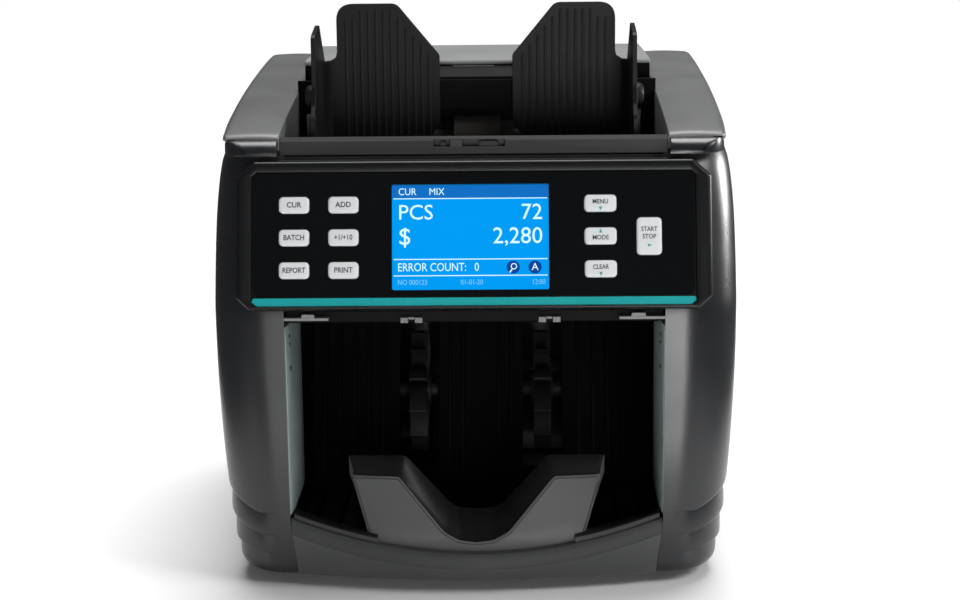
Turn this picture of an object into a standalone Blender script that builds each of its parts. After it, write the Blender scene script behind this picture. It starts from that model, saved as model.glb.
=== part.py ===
"""Banknote counter: parametric source, one object per piece, metres, +Z up, front is -Y."""
import math

import bmesh
import bpy
from mathutils import Matrix, Vector

MM = 0.001

# ---- body -------------------------------------------------------------------------------
HALF_W = 126.5            # widest half width of the side covers
BODY_REAR = 114.0         # rear end of the side covers
REAR_FACE = 117.5         # outer face of the rear cover
BASE_Z = 6.0              # underside of the body, feet below
WALL = 2.6
CORNER_R = 28.0           # vertical front corner radius in plan
HOPPER_HALF = 92.8        # half width between the two upper cheeks
POCKET_HALF = 90.0        # half width of the delivery pocket mouth
POCKET_TOP = 131.0
RIM_MID = 19.5            # height of the curved front lip at its middle
RIM_END = 34.0
FRONT_MID = -124.0        # most forward line of the base front
LIP_DROP = 14.5

# ---- control panel ------------------------------------------------------------------------
PANEL_C = (0.0, -112.0, 173.0)
PANEL_TILT = math.radians(16.0)
PANEL_HALF_U = 103.3
PANEL_V = (-27.8, 30.6)
BEZEL_HALF_U = 111.8
BEZEL_V = (-33.9, 36.3)
LCD_U = -1.4
LCD_SIZE = (73.4, 49.0)
KEY_GAP = 0.35
KEY_TRAVEL = 0.8
KEY_TOP = 1.0
KEY_BACK = -5.5
KEY_ROW = 15.4
KEYS = (
    ("key_currency", -84.1, KEY_ROW, 14.2, 7.8),
    ("key_add", -60.9, KEY_ROW, 14.2, 7.8),
    ("key_batch", -84.1, 0.0, 14.2, 7.8),
    ("key_step", -60.9, 0.0, 14.2, 7.8),
    ("key_report", -84.1, -KEY_ROW, 14.2, 7.8),
    ("key_print", -60.9, -KEY_ROW, 14.2, 7.8),
    ("key_menu", 59.5, KEY_ROW, 15.0, 8.0),
    ("key_mode", 59.5, 0.0, 15.0, 8.0),
    ("key_clear", 59.5, -KEY_ROW, 15.0, 8.0),
    ("key_start", 82.2, -0.2, 11.7, 17.6),
)

# ---- hopper and guides ----------------------------------------------------------------------
FLOOR_FRONT = (-75.0, 212.5)
FLOOR_BACK = (-15.0, 193.5)
FLOOR_T = 2.4
GUIDE_X = 79.0
GUIDE_T = 2.2
GUIDE_BACK_Y = -9.0
GUIDE_TOP = 275.6

# ---- transport: (y, z) of each shaft, radii ---------------------------------------------------
PICKUP = (-36.0, 189.0)
PICKUP_R = 11.8
FEED = (-4.0, 176.0)
FEED_R = 15.5
RETARD = (8.0, 206.0)
RETARD_R = 10.0
DRUM = (60.0, 157.0)
DRUM_R = 29.0
PINCH_R = 6.0
PINCH_ANGLE = 8.0
STACK = (44.0, 58.0)
STACK_R = 34.0
MOTOR = (92.0, 33.0)
FRAME_X = 97.5
FRAME_T = 2.0


# ---- helpers ------------------------------------------------------------------------------
def clear_scene():
    for obj in list(bpy.data.objects):
        bpy.data.objects.remove(obj, do_unlink=True)


def new_collection(name):
    coll = bpy.data.collections.new(name)
    bpy.context.scene.collection.children.link(coll)
    return coll


def material(name, rgb, rough, metal=0.0):
    mat = bpy.data.materials.new(name)
    mat.use_nodes = True
    bsdf = mat.node_tree.nodes["Principled BSDF"]
    bsdf.inputs["Base Color"].default_value = (*rgb, 1.0)
    bsdf.inputs["Roughness"].default_value = rough
    bsdf.inputs["Metallic"].default_value = metal
    mat.diffuse_color = (*rgb, 1.0)
    return mat


def mesh_object(name, verts, faces, slot, origin=(0, 0, 0)):
    """One object from millimetre vertices, its origin at the given point."""
    mesh = bpy.data.meshes.new(name)
    shift = Vector(origin)
    mesh.from_pydata([(Vector(v) - shift) * MM for v in verts], [], faces)
    bm = bmesh.new()
    bm.from_mesh(mesh)
    bmesh.ops.recalc_face_normals(bm, faces=bm.faces)
    bm.to_mesh(mesh)
    bm.free()
    obj = bpy.data.objects.new(name, mesh)
    obj.location = shift * MM
    mesh.materials.append(MATS[slot])
    PART.objects.link(obj)
    return obj


def loft(name, rings, slot, origin=(0, 0, 0), cap=True, wrap=True):
    """Skin a list of equal-length rings; closed around and capped at both ends."""
    n = len(rings[0])
    verts = [p for ring in rings for p in ring]
    faces = []
    for i in range(len(rings) - 1):
        for j in range(n if wrap else n - 1):
            k = (j + 1) % n
            faces.append((i * n + j, i * n + k, (i + 1) * n + k, (i + 1) * n + j))
    if cap:
        faces.append(tuple(range(n))[::-1])
        faces.append(tuple((len(rings) - 1) * n + j for j in range(n)))
    return mesh_object(name, verts, faces, slot, origin)


def box(name, lo, hi, slot, origin=(0, 0, 0)):
    ring0 = [(lo[0], lo[1], lo[2]), (hi[0], lo[1], lo[2]), (hi[0], hi[1], lo[2]), (lo[0], hi[1], lo[2])]
    ring1 = [(p[0], p[1], hi[2]) for p in ring0]
    return loft(name, [ring0, ring1], slot, origin)


def prism_x(name, profile, x0, x1, slot, origin=(0, 0, 0)):
    """Extrude a (y, z) outline along X."""
    return loft(name, [[(x, y, z) for y, z in profile] for x in (x0, x1)], slot, origin)


def prism_y(name, profile, y0, y1, slot, origin=(0, 0, 0)):
    """Extrude an (x, z) outline along Y."""
    return loft(name, [[(x, y, z) for x, z in profile] for y in (y0, y1)], slot, origin)


def lathe_x(name, profile, centre, slot, seg=28):
    """Turn an (x, radius) outline round the X axis through (y, z) = centre."""
    rings = []
    for x, r in profile:
        ring = []
        for k in range(seg):
            a = 2 * math.pi * k / seg
            ring.append((x, centre[0] + r * math.cos(a), centre[1] + r * math.sin(a)))
        rings.append(ring)
    return loft(name, rings, slot, (profile[0][0], centre[0], centre[1]))


def disc_z(name, x, y, r, z0, z1, slot, seg=24, origin=None):
    rings = []
    for z in (z0, z1):
        rings.append([(x + r * math.cos(2 * math.pi * k / seg), y + r * math.sin(2 * math.pi * k / seg), z)
                      for k in range(seg)])
    return loft(name, rings, slot, origin or (x, y, z0))


def panel_point(u, v, w):
    """Control-panel coordinates: u across, v up the slope, w outwards."""
    s = math.sin(PANEL_TILT)
    c = math.cos(PANEL_TILT)
    return (PANEL_C[0] + u, PANEL_C[1] + v * s - w * c, PANEL_C[2] + v * c + w * s)


def panel_prism(name, outline, w0, w1, slot, origin=None):
    """Extrude a (u, v) outline along the panel normal."""
    rings = [[panel_point(u, v, w) for u, v in outline] for w in (w0, w1)]
    return loft(name, rings, slot, origin or (0, 0, 0))


def rounded_rect(u, v, w, h, r, seg=3):
    pts = []
    for cx, cy, a0 in ((1, 1, 0), (-1, 1, 90), (-1, -1, 180), (1, -1, 270)):
        for k in range(seg + 1):
            a = math.radians(a0 + 90 * k / seg)
            pts.append((u + cx * (w / 2 - r) + r * math.cos(a), v + cy * (h / 2 - r) + r * math.sin(a)))
    return pts


def to_cutter(obj):
    PART.objects.unlink(obj)
    CUTTERS.objects.link(obj)
    obj.hide_render = True
    obj.display_type = 'WIRE'
    return obj


def boolean(target, other, operation='DIFFERENCE'):
    mod = target.modifiers.new("bool_" + other.name, 'BOOLEAN')
    mod.operation = operation
    mod.solver = 'EXACT'
    mod.object = to_cutter(other)
    return mod


def bevel(obj, width, segments=2, angle=40.0):
    mod = obj.modifiers.new("bevel", 'BEVEL')
    mod.width = width * MM
    mod.segments = segments
    mod.limit_method = 'ANGLE'
    mod.angle_limit = math.radians(angle)
    return mod


def smooth(obj, angle=32.0):
    obj.data.shade_smooth()
    obj.data.set_sharp_from_angle(angle=math.radians(angle))


def interp(table, t):
    """Smooth piecewise curve through (t, value) pairs."""
    if t <= table[0][0]:
        return table[0][1]
    for (a, va), (b, vb) in zip(table, table[1:]):
        if t <= b:
            k = (t - a) / (b - a)
            return va + (vb - va) * k
    return table[-1][1]


# ---- shared outlines -----------------------------------------------------------------------
SIDE_HALF = ((6, 116.5), (14, 118.6), (30, 121.0), (45, 122.8), (70, 124.8), (105, 126.3), (140, HALF_W),
             (175, 126.0), (195, 124.6), (207, 122.6), (214, 120.4))
FRONT_Y = ((6, -109.8), (34, -111.6), (80, -112.6), (131, -112.4), (137, -112.1), (150, -108.6), (175, -101.4),
           (195, -95.6), (205, -92.6), (214, -88.4))
CHEEK_TOP = ((-96, 213.0), (-92, 216.0), (-86, 218.6), (-76, 220.8), (-50, 225.0), (0, 231.5), (50, 236.8),
             (90, 240.2), (108, 241.0), (114, 239.0))


def seam_z(y):
    """Height of the joint between side cover and upper cheek."""
    return 209.6 - 10.5 * max(0.0, (y + 95.0) / 209.0) ** 1.5


def pocket_edge(z):
    """Half width of the base front, and of the mouth above it, at height z."""
    return interp(((BASE_Z, 87.0), (RIM_END, POCKET_HALF)), z)


# ---- outer shell ----------------------------------------------------------------------------
def side_cover(name, side):
    """Curved side cover: front strip beside the pocket, round corner, long side wall."""
    plan = [("front", 0.0), ("front", 0.5)]
    plan += [("corner", a) for a in range(0, 91, 15)]
    plan += [("side", y) for y in (-60, -30, 10, 50, 85, BODY_REAR)]
    rows = 15
    grid = []
    for kind, t in plan:
        column = []
        for i in range(rows):
            f = i / (rows - 1)
            if kind == "side":
                top = seam_z(t) - 0.5
                z = BASE_Z + f * (top - BASE_Z)
                x = interp(SIDE_HALF, z)
                y = t
            else:
                depth = 0.0 if kind == "front" else CORNER_R * (1 - math.cos(math.radians(t)))
                top = seam_z(-91.5 + depth) - 0.5
                z = BASE_Z + f * (top - BASE_Z)
                xs = interp(SIDE_HALF, z)
                yf = interp(FRONT_Y, z)
                x_in = pocket_edge(z) + 0.4
                if kind == "front":
                    x = x_in + (xs - CORNER_R - x_in) * t
                    y = yf
                else:
                    a = math.radians(t)
                    x = xs - CORNER_R + CORNER_R * math.sin(a)
                    y = yf + CORNER_R - CORNER_R * math.cos(a)
            column.append((side * x, y, z))
        grid.append(column)
    n = rows
    verts = [p for col in grid for p in col]
    faces = []
    for i in range(len(grid) - 1):
        for j in range(n - 1):
            quad = (i * n + j, (i + 1) * n + j, (i + 1) * n + j + 1, i * n + j + 1)
            faces.append(quad if side > 0 else quad[::-1])
    obj = mesh_object(name, verts, faces, "shell_dark")
    bm = bmesh.new()
    bm.from_mesh(obj.data)
    probe = max(bm.faces, key=lambda f: abs(f.calc_center_median().x))
    if probe.normal.x * side < 0:
        bmesh.ops.reverse_faces(bm, faces=bm.faces)
    bm.to_mesh(obj.data)
    bm.free()
    mod = obj.modifiers.new("wall", 'SOLIDIFY')
    mod.thickness = WALL * MM
    mod.offset = -1.0
    mod.use_even_offset = True
    smooth(obj, 40)
    return obj


def upper_cheek(name, side):
    """Lighter cap over the side cover, with the hopper side wall on its inner edge."""
    stations = (-96, -92, -86, -76, -50, -20, 10, 50, 90, 108, BODY_REAR)
    rings = []
    for y in stations:
        zt = interp(CHEEK_TOP, y)
        zs = seam_z(y)
        nose = interp(((-96, 0.84), (-92, 0.94), (-86, 1.0)), y)
        xo = interp(((-96, 113.5), (-92, 117.4), (-86, 120.2), (-60, 122.2), (0, 122.6), (114, 122.4)), y)
        mid = max(zs + 0.3, zt - 0.45 * (zt - zs))
        low = interp(((-96, 210.2), (-86, 210.0), (-80, 199.0), (-20, 193.2), (114, 193.2)), y)
        inner = HOPPER_HALF + 0.4
        ring = [
            (xo, zs), (xo - 0.4, mid), (xo - 2.2, zt - 1.4 * nose), (xo - 5.5, zt), (inner + 8, zt + 0.6),
            (inner + 1.2, zt), (inner, zt - 1.2), (inner, low), (inner + WALL, low),
            (inner + WALL, zt - 3.4), (xo - 6.0, zt - 3.0), (xo - 4.2, zs + 0.2), (xo - 3.2, zs),
        ]
        rings.append([(side * x, y, z) for x, z in ring])
    obj = loft(name, rings, "shell_light")
    smooth(obj, 35)
    return obj


def rear_cover():
    right = [(interp(SIDE_HALF, z), z) for z in (6, 14, 30, 60, 105, 140, 175, 195)]
    right += [(123.0, 205.0), (122.0, 228.0), (117.0, 237.5), (108.0, 239.5), (91.0, 240.0)]
    outline = right + [(-x, z) for x, z in reversed(right)]
    obj = prism_y("rear_cover", outline, BODY_REAR + 0.4, REAR_FACE, "shell_dark")
    bevel(obj, 1.2, 2, 60)
    for i in range(9):
        z = 66.0 + 6.5 * i
        slot = box("cut_vent_%d" % i, (20, 110, z), (86, 125, z + 2.6), "shell_dark")
        boolean(obj, slot)
    boolean(obj, box("cut_inlet", (-88.4, 110, 24.6), (-59.6, 125, 45.4), "shell_dark"))
    boolean(obj, box("cut_switch", (-48.6, 110, 26.0), (-35.4, 125, 44.0), "shell_dark"))
    for i, (x, w, h) in enumerate(((38.0, 9, 9), (52.0, 12, 6), (68.0, 9, 12), (81.0, 6, 6))):
        port = box("cut_port_%d" % i, (x - w / 2, 110, 35 - h / 2), (x + w / 2, 125, 35 + h / 2), "shell_dark")
        boolean(obj, port)
    boolean(obj, prism_y("cut_knob", circle(0, 214, 5.0, 20), 110, 125, "shell_dark"))
    smooth(obj)
    return obj


def circle(cx, cz, r, seg):
    return [(cx + r * math.cos(2 * math.pi * k / seg), cz + r * math.sin(2 * math.pi * k / seg)) for k in range(seg)]


def top_cover():
    """Light cover over the transport, hinged along its rear edge."""
    profile = [(19.5, 233.0), (19.0, 238.5), (19.2, 243.6), (20.8, 245.4), (25.0, 246.0), (60.0, 246.8),
               (100.0, 247.2), (108.0, 246.6), (111.6, 244.6), (113.2, 242.4), (113.6, 241.4), (113.6, 239.2),
               (109.0, 241.4), (100.0, 244.0), (60.0, 243.8), (27.0, 243.0), (23.6, 241.4), (22.2, 238.0),
               (22.4, 233.0)]
    obj = prism_x("top_cover", profile, -HOPPER_HALF + 0.5, HOPPER_HALF - 0.5, "shell_light", (0, 111.5, 241.0))
    bevel(obj, 0.5, 1, 50)
    smooth(obj, 40)
    return obj


def base_tray():
    outline = [(-102, -95.6), (102, -95.6), (110.5, -85.0), (110.5, 113.6), (-110.5, 113.6), (-110.5, -85.0)]
    rings = [[(x, y, z) for x, y in outline] for z in (BASE_Z, 10.0)]
    obj = loft("base_tray", rings, "black_inner")
    bevel(obj, 0.6, 1, 60)
    return obj


def base_front():
    """Front of the base: a lip that dips to the middle, with a ridge below its edge."""
    n = 28
    rings = []
    for i in range(n + 1):
        s = -1 + 2 * i / n
        bow = 10.5 * s * s
        rim = RIM_MID + LIP_DROP * s * s
        ridge = rim - 7.0
        inner_y = -116.0 + 10.0 * s * s
        section = [
            (-120.6 + bow, BASE_Z), (FRONT_MID + bow, ridge), (-120.6 + bow, rim - 0.4), (-119.6 + bow, rim),
            (inner_y - 0.6, rim), (inner_y, rim - 0.6), (inner_y, 11.0), (-96.0, 11.0), (-96.0, BASE_Z),
        ]
        rings.append([(s * pocket_edge(min(z, RIM_END)), y, z) for y, z in section])
    obj = loft("base_front", rings, "shell_dark")
    smooth(obj, 28)
    return obj


def foot(name, x, y):
    obj = disc_z(name, x, y, 9.0, 0.0, 5.7, "rubber")
    bevel(obj, 0.8, 2, 50)
    smooth(obj, 40)
    return obj


# ---- control panel -----------------------------------------------------------------------------
def front_bezel():
    u = BEZEL_HALF_U
    lo, hi = BEZEL_V
    outline = [(-u + 4, lo), (u - 4, lo), (u - 0.6, lo + 4.5), (u, lo + 20), (u, hi - 7), (u - 4.5, hi - 1),
               (u - 8, hi), (-u + 8, hi), (-u + 4.5, hi - 1), (-u, hi - 7), (-u, lo + 20), (-u + 0.6, lo + 4.5)]
    obj = panel_prism("front_bezel", outline, -9.0, 0.8, "bezel_dark")
    bevel(obj, 0.7, 2, 60)
    pocket = rounded_rect(0, (-32.4 + 30.9) / 2, 2 * (PANEL_HALF_U + 0.9), 63.3, 2.0)
    boolean(obj, panel_prism("cut_panel", pocket, -1.9, 4.0, "bezel_dark"))
    boolean(obj, panel_prism("cut_panel_back", rounded_rect(0, 0.7, 196, 55, 2.0), -12.0, 0.0, "bezel_dark"))
    smooth(obj)
    return obj


def panel_glass():
    lo, hi = PANEL_V
    outline = rounded_rect(0, (lo + hi) / 2, 2 * PANEL_HALF_U, hi - lo, 3.0)
    obj = panel_prism("panel_glass", outline, -1.6, 0.0, "panel_gloss")
    window = rounded_rect(LCD_U, 0, LCD_SIZE[0] + 0.6, LCD_SIZE[1] + 0.6, 0.6)
    boolean(obj, panel_prism("cut_window", window, -4.0, 3.0, "panel_gloss"))
    for name, u, v, w, h in KEYS:
        hole = rounded_rect(u, v, w + 2 * KEY_GAP, h + 2 * KEY_GAP, 2.2)
        boolean(obj, panel_prism("cut_" + name, hole, -4.0, 3.0, "panel_gloss"))
    return obj


def lcd_display():
    outline = rounded_rect(LCD_U, 0, LCD_SIZE[0], LCD_SIZE[1], 0.5)
    return panel_prism("lcd_display", outline, -4.6, -0.4, "lcd_blue")


def teal_strip():
    outline = [(-101.5, -32.1), (101.5, -32.1), (104.0, -30.2), (103.4, -28.4), (-103.4, -28.4), (-104.0, -30.2)]
    return panel_prism("teal_strip", outline, -1.6, 0.1, "teal")


def key(name, u, v, w, h):
    obj = panel_prism(name, rounded_rect(u, v, w, h, 2.0), KEY_BACK, KEY_TOP, "key_grey", panel_point(u, v, 0))
    bevel(obj, 0.35, 1, 60)
    smooth(obj, 40)
    return obj


def keypad_board():
    return panel_prism("keypad_board", rounded_rect(0, 1.5, 194, 49, 1.5), -8.4, -6.9, "pcb_green")


# ---- hopper ----------------------------------------------------------------------------------
def hopper_lip():
    profile = [(-89.6, 208.8), (-88.8, 215.4), (-87.0, 217.2), (-84.0, 217.0), (-76.2, 214.6), (-76.0, 210.6),
               (-84.0, 208.8)]
    obj = prism_x("hopper_lip", profile, -HOPPER_HALF + 0.2, HOPPER_HALF - 0.2, "shell_light")
    bevel(obj, 0.5, 2, 50)
    boolean(obj, box("cut_lip_slot", (-19, -95, 212.6), (15, -84.6, 216.0), "shell_light"))
    smooth(obj, 40)
    return obj


def floor_z(y, top=True):
    (y0, z0), (y1, z1) = FLOOR_FRONT, FLOOR_BACK
    z = z0 + (z1 - z0) * (y - y0) / (y1 - y0)
    return z if top else z - FLOOR_T


def hopper_floor():
    y0, y1 = FLOOR_FRONT[0], FLOOR_BACK[0]
    profile = [(y0, floor_z(y0)), (y1, floor_z(y1)), (y1, floor_z(y1, False)), (y0, floor_z(y0, False))]
    obj = prism_x("hopper_floor", profile, -HOPPER_HALF + 0.3, HOPPER_HALF - 0.3, "black_inner")
    for side in (-1, 1):
        lo, hi = sorted((side * 19.5, side * 38.5))
        boolean(obj, box("cut_pickup_%d" % side, (lo, -50, 180), (hi, -22, 225), "black_inner"))
    boolean(obj, box("cut_rack_l", (-92, -70.8, 180), (-58, -65.2, 225), "black_inner"))
    boolean(obj, box("cut_rack_r", (58, -58.8, 180), (92, -53.2, 225), "black_inner"))
    return obj


def note_guide(name, side):
    """Side plate, ribbed back plate and rack in one moulding; slides across the hopper."""
    xo = side * GUIDE_X
    t = side * GUIDE_T
    lift = 1.4
    y_back = GUIDE_BACK_Y
    plate = [(-72.0, floor_z(-72) + lift), (-72.0, 224.0), (-65.5, 230.0), (-62.0, 238.0), (-61.0, 259.0),
             (-59.0, 262.6), (-39.5, 266.4), (-35.6, 264.6), (-14.5, 247.4), (y_back, 246.0),
             (y_back, floor_z(-15) + lift),
             (-16.0, floor_z(-15) + lift)]
    obj = prism_x(name, plate, xo, xo + t, "guide_dark", (side * GUIDE_X, y_back, 200.0))
    back = [(77.0, 196.5), (77.0, 243.0), (72.0, 246.0), (71.2, 250.0), (71.2, 266.0), (69.0, 272.4),
            (64.0, GUIDE_TOP), (44.0, GUIDE_TOP), (41.0, 274.0), (20.0, 248.6), (18.6, 244.0), (18.6, 216.0),
            (26.0, 205.0), (26.0, 196.5)]
    web = prism_y("uni_back_" + name, [(side * x, z) for x, z in back], y_back - 1.2, y_back + 1.6, "guide_dark")
    boolean(obj, web, 'UNION')
    lo, hi = sorted((side * 76.0, side * 80.6))
    boolean(obj, box("uni_web_" + name, (lo, y_back - 5.0, 198.0), (hi, y_back + 1.2, 243.0), "guide_dark"), 'UNION')
    y_rack = -68.0 if side < 0 else -56.0
    lo, hi = sorted((side * 78.4, side * 81.2))
    foot_box = box("uni_foot_" + name, (lo, y_rack - 2, 190.5), (hi, y_rack + 2, 226.0), "guide_dark")
    boolean(obj, foot_box, 'UNION')
    lo, hi = sorted((side * 80.0, -side * 10.0))
    boolean(obj, box("uni_rack_" + name, (lo, y_rack - 1.9, 190.0), (hi, y_rack + 1.9, 194.0), "guide_dark"), 'UNION')
    return obj


def hopper_back():
    half = HOPPER_HALF - 0.4
    outline = [(-half, 197.0), (half, 197.0), (half, 236.0), (-half, 236.0)]
    obj = prism_y("hopper_back", outline, -4.6, -2.2, "black_inner")
    boolean(obj, box("cut_retard", (-26, -8, 190), (26, 2, 221), "black_inner"))
    return obj


def feed_gate():
    profile = [(-1.6, 222.5), (-1.6, 237.0), (4.0, 241.2), (17.0, 241.2), (17.0, 222.5)]
    obj = prism_x("feed_gate", profile, -24.0, 24.0, "black_inner")
    bevel(obj, 0.6, 1, 50)
    return obj


# ---- delivery pocket ---------------------------------------------------------------------------
def pocket_wall(name, side):
    lo, hi = sorted((side * 91.2, side * 93.2))
    return box(name, (lo, -106.2, 11.4), (hi, 5.0, 132.6), "pocket_grey")


def pocket_ceiling():
    return box("pocket_ceiling", (-93.2, -99.0, 133.2), (93.2, 24.0, 135.2), "black_inner")


def pocket_header():
    profile = [(-108.0, 131.2), (-108.0, 137.0), (-104.0, 139.0), (-100.0, 139.0), (-100.0, 131.2)]
    obj = prism_x("pocket_header", profile, -89.6, 89.6, "black_inner")
    bevel(obj, 0.5, 1, 50)
    return obj


def pocket_back():
    profile = [(8.0, 11.4), (10.4, 11.4), (64.4, 122.0), (62.0, 122.0)]
    obj = prism_x("pocket_back", profile, -93.0, 93.0, "black_inner")
    for side in (-1, 1):
        lo, hi = sorted((side * 23.0, side * 45.0))
        boolean(obj, box("cut_wheel_%d" % side, (lo, -5, 22), (hi, 70, 100), "black_inner"))
    return obj


def note_stop():
    """Thick upright at the mouth of the pocket with a wide V cut in it."""
    front = [(-50.5, 11.4), (-50.5, 20.0), (-60.0, 50.0), (-60.0, 54.0), (-37.5, 54.0), (-15.5, 29.0), (-8.0, 25.0),
             (8.0, 25.0), (15.5, 29.0), (37.5, 54.0), (60.0, 54.0), (60.0, 50.0), (50.5, 20.0), (50.5, 11.4)]
    rear = [(-52.0, 11.4), (-52.0, 22.0), (-62.0, 54.0), (-62.5, 62.0), (-34.7, 62.0), (-13.0, 38.0), (-9.0, 35.0),
            (9.0, 35.0), (13.0, 38.0), (34.7, 62.0), (62.5, 62.0), (62.0, 54.0), (52.0, 22.0), (52.0, 11.4)]
    rings = []
    ring = []
    for x, z in front:
        lean = max(0.0, z - 26.0) * 9.0 / 28.0
        ring.append((x, -115.4 + lean + 10.0 * (x / 88.0) ** 2, z))
    rings.append(ring)
    rings.append([(x, -95.0 + 0.6 * abs(x) / 60.0, z) for x, z in rear])
    obj = loft("note_stop", rings, "pocket_grey")
    return obj


# ---- transport -----------------------------------------------------------------------------
def roller_shaft(name, centre, shaft_r, roller_r, bands, ends, slot, pulleys=(), seg=28):
    """Shaft, rollers and pulleys turned as one body."""
    stops = [(ends[0], ends[0], None)]
    spans = sorted([(a, b, roller_r) for a, b in bands] + [(a, b, r) for a, b, r in pulleys])
    profile = [(ends[0], shaft_r)]
    for a, b, r in spans:
        profile += [(a, shaft_r), (a, r), (b, r), (b, shaft_r)]
    profile += [(ends[1], shaft_r)]
    clean = [profile[0]]
    for p in profile[1:]:
        if p != clean[-1]:
            clean.append(p)
    obj = lathe_x(name, clean, centre, slot, seg)
    smooth(obj, 30)
    return obj


def stacker_wheels():
    """Two wheels of curved flexible fingers on one shaft."""
    obj = roller_shaft("stacker_wheels", STACK, 4.0, 9.0, ((-40, -28), (28, 40)), (-111.0, 97.0), "rubber",
                       ((-108.0, -105.6, 20.0),), 24)
    for side in (-1, 1):
        outline = []
        blades = 12
        for k in range(blades):
            a0 = 2 * math.pi * k / blades
            for r, da in ((8.4, -0.14), (22.0, 0.06), (STACK_R, 0.30), (STACK_R - 0.3, 0.35), (21.5, 0.14), (8.4, 0.10)):
                outline.append((STACK[0] + r * math.cos(a0 + da), STACK[1] + r * math.sin(a0 + da)))
        lo, hi = sorted((side * 29.0, side * 39.0))
        wheel = prism_x("uni_wheel_%d" % side, outline, lo, hi, "rubber")
        boolean(obj, wheel, 'UNION')
    return obj


def pinch_centre(deg):
    a = math.radians(deg)
    r = DRUM_R + PINCH_R + 0.5
    return (DRUM[0] + r * math.cos(a), DRUM[1] + r * math.sin(a))


def belt(name, a, ra, b, rb, x0, x1):
    """Flat belt loop round two pulleys, a hair clear of both."""
    gap = 0.35
    thick = 1.3
    dy, dz = b[0] - a[0], b[1] - a[1]
    dist = math.hypot(dy, dz)
    base = math.atan2(dz, dy)
    off = math.acos((ra - rb) / dist)
    loops = []
    for extra in (gap, gap + thick):
        loop = []
        for centre, r, start, end in ((a, ra, base + off, base + 2 * math.pi - off), (b, rb, base - off, base + off)):
            for k in range(13):
                t = start + (end - start) * k / 12
                loop.append((centre[0] + (r + extra) * math.cos(t), centre[1] + (r + extra) * math.sin(t)))
        loops.append(loop)
    n = len(loops[0])
    verts = []
    for x in (x0, x1):
        for loop in loops:
            verts += [(x, y, z) for y, z in loop]
    faces = []
    for j in range(n):
        k = (j + 1) % n
        i0, o0, i1, o1 = j, n + j, 2 * n + j, 3 * n + j
        p0, q0, p1, q1 = k, n + k, 2 * n + k, 3 * n + k
        faces += [(i0, p0, q0, o0), (i1, o1, q1, p1), (i0, i1, p1, p0), (o0, q0, q1, o1)]
    obj = mesh_object(name, verts, faces, "rubber")
    smooth(obj, 30)
    return obj


def side_frame(name, side):
    outline = [(-60, 10.6), (110, 10.6), (110, 170), (96, 200), (-4, 200), (-46, 196), (-46, 140), (-60, 128)]
    lo, hi = sorted((side * FRAME_X, side * (FRAME_X + FRAME_T)))
    obj = prism_x(name, outline, lo, hi, "steel")
    if side < 0:
        for tag, centre, r in (("pickup", PICKUP, 3.0), ("feed", FEED, 4.0), ("drum", DRUM, 5.0), ("stack", STACK, 4.0),
                               ("motor", MOTOR, 3.0)):
            hole = lathe_x("cut_bore_" + tag, [(-102, r + 0.6), (-94, r + 0.6)], centre, "steel", 20)
            boolean(obj, hole)
    return obj


def drive_motor():
    obj = lathe_x("drive_motor", [(-96.5, 7.0), (-95.0, 7.0), (-95.0, 16.5), (-93.5, 17.5), (-50.0, 17.5),
                                  (-48.0, 16.0), (-48.0, 6.0), (-45.0, 6.0)], MOTOR, "steel", 28)
    smooth(obj, 30)
    return obj


# ---- electrics -----------------------------------------------------------------------------
def main_board():
    obj = box("main_board", (102.0, -30.0, 40.0), (103.6, 96.0, 180.0), "pcb_green")
    parts = ((10, 60, 24, 84, 6), (50, 110, 76, 150, 3), (-20, 130, 4, 168, 8), (20, 150, 40, 170, 3))
    for i, (y0, z0, y1, z1, h) in enumerate(parts):
        boolean(obj, box("uni_chip_%d" % i, (103.0, y0, z0), (103.6 + h, y1, z1), "pcb_green"), 'UNION')
    return obj


def power_supply():
    obj = box("power_supply", (-30.0, 84.0, 10.6), (88.0, 110.0, 60.0), "steel")
    bevel(obj, 1.0, 1, 60)
    return obj


def power_inlet():
    obj = box("power_inlet", (-88.0, 110.4, 25.0), (-60.0, 119.0, 45.0), "black_inner")
    boolean(obj, box("cut_inlet_bore", (-85.0, 112.0, 28.0), (-63.0, 122.0, 42.0), "black_inner"))
    return obj


def power_rocker():
    profile = [(116.0, 27.8), (120.2, 28.4), (118.4, 35.0), (120.2, 41.6), (116.0, 42.2), (114.4, 35.0)]
    obj = prism_x("power_rocker", profile, -47.8, -36.2, "key_grey", (-42.0, 116.6, 35.0))
    bevel(obj, 0.3, 1, 50)
    return obj


def gap_knob():
    """Feed-gap knob on the rear, with its stem through the cover."""
    seg = 36
    rings = []
    for y, r in ((106.0, 4.4), (117.9, 4.4), (117.9, 10.6), (119.0, 11.4), (122.6, 11.2), (124.0, 9.8)):
        ring = []
        for k in range(seg):
            grip = 0.6 if (k % 3 == 0 and r > 9) else 0.0
            a = 2 * math.pi * k / seg
            ring.append(((r - grip) * math.cos(a), y, 214 + (r - grip) * math.sin(a)))
        rings.append(ring)
    return loft("gap_knob", rings, "key_grey", (0, 117.9, 214.0))


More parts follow.
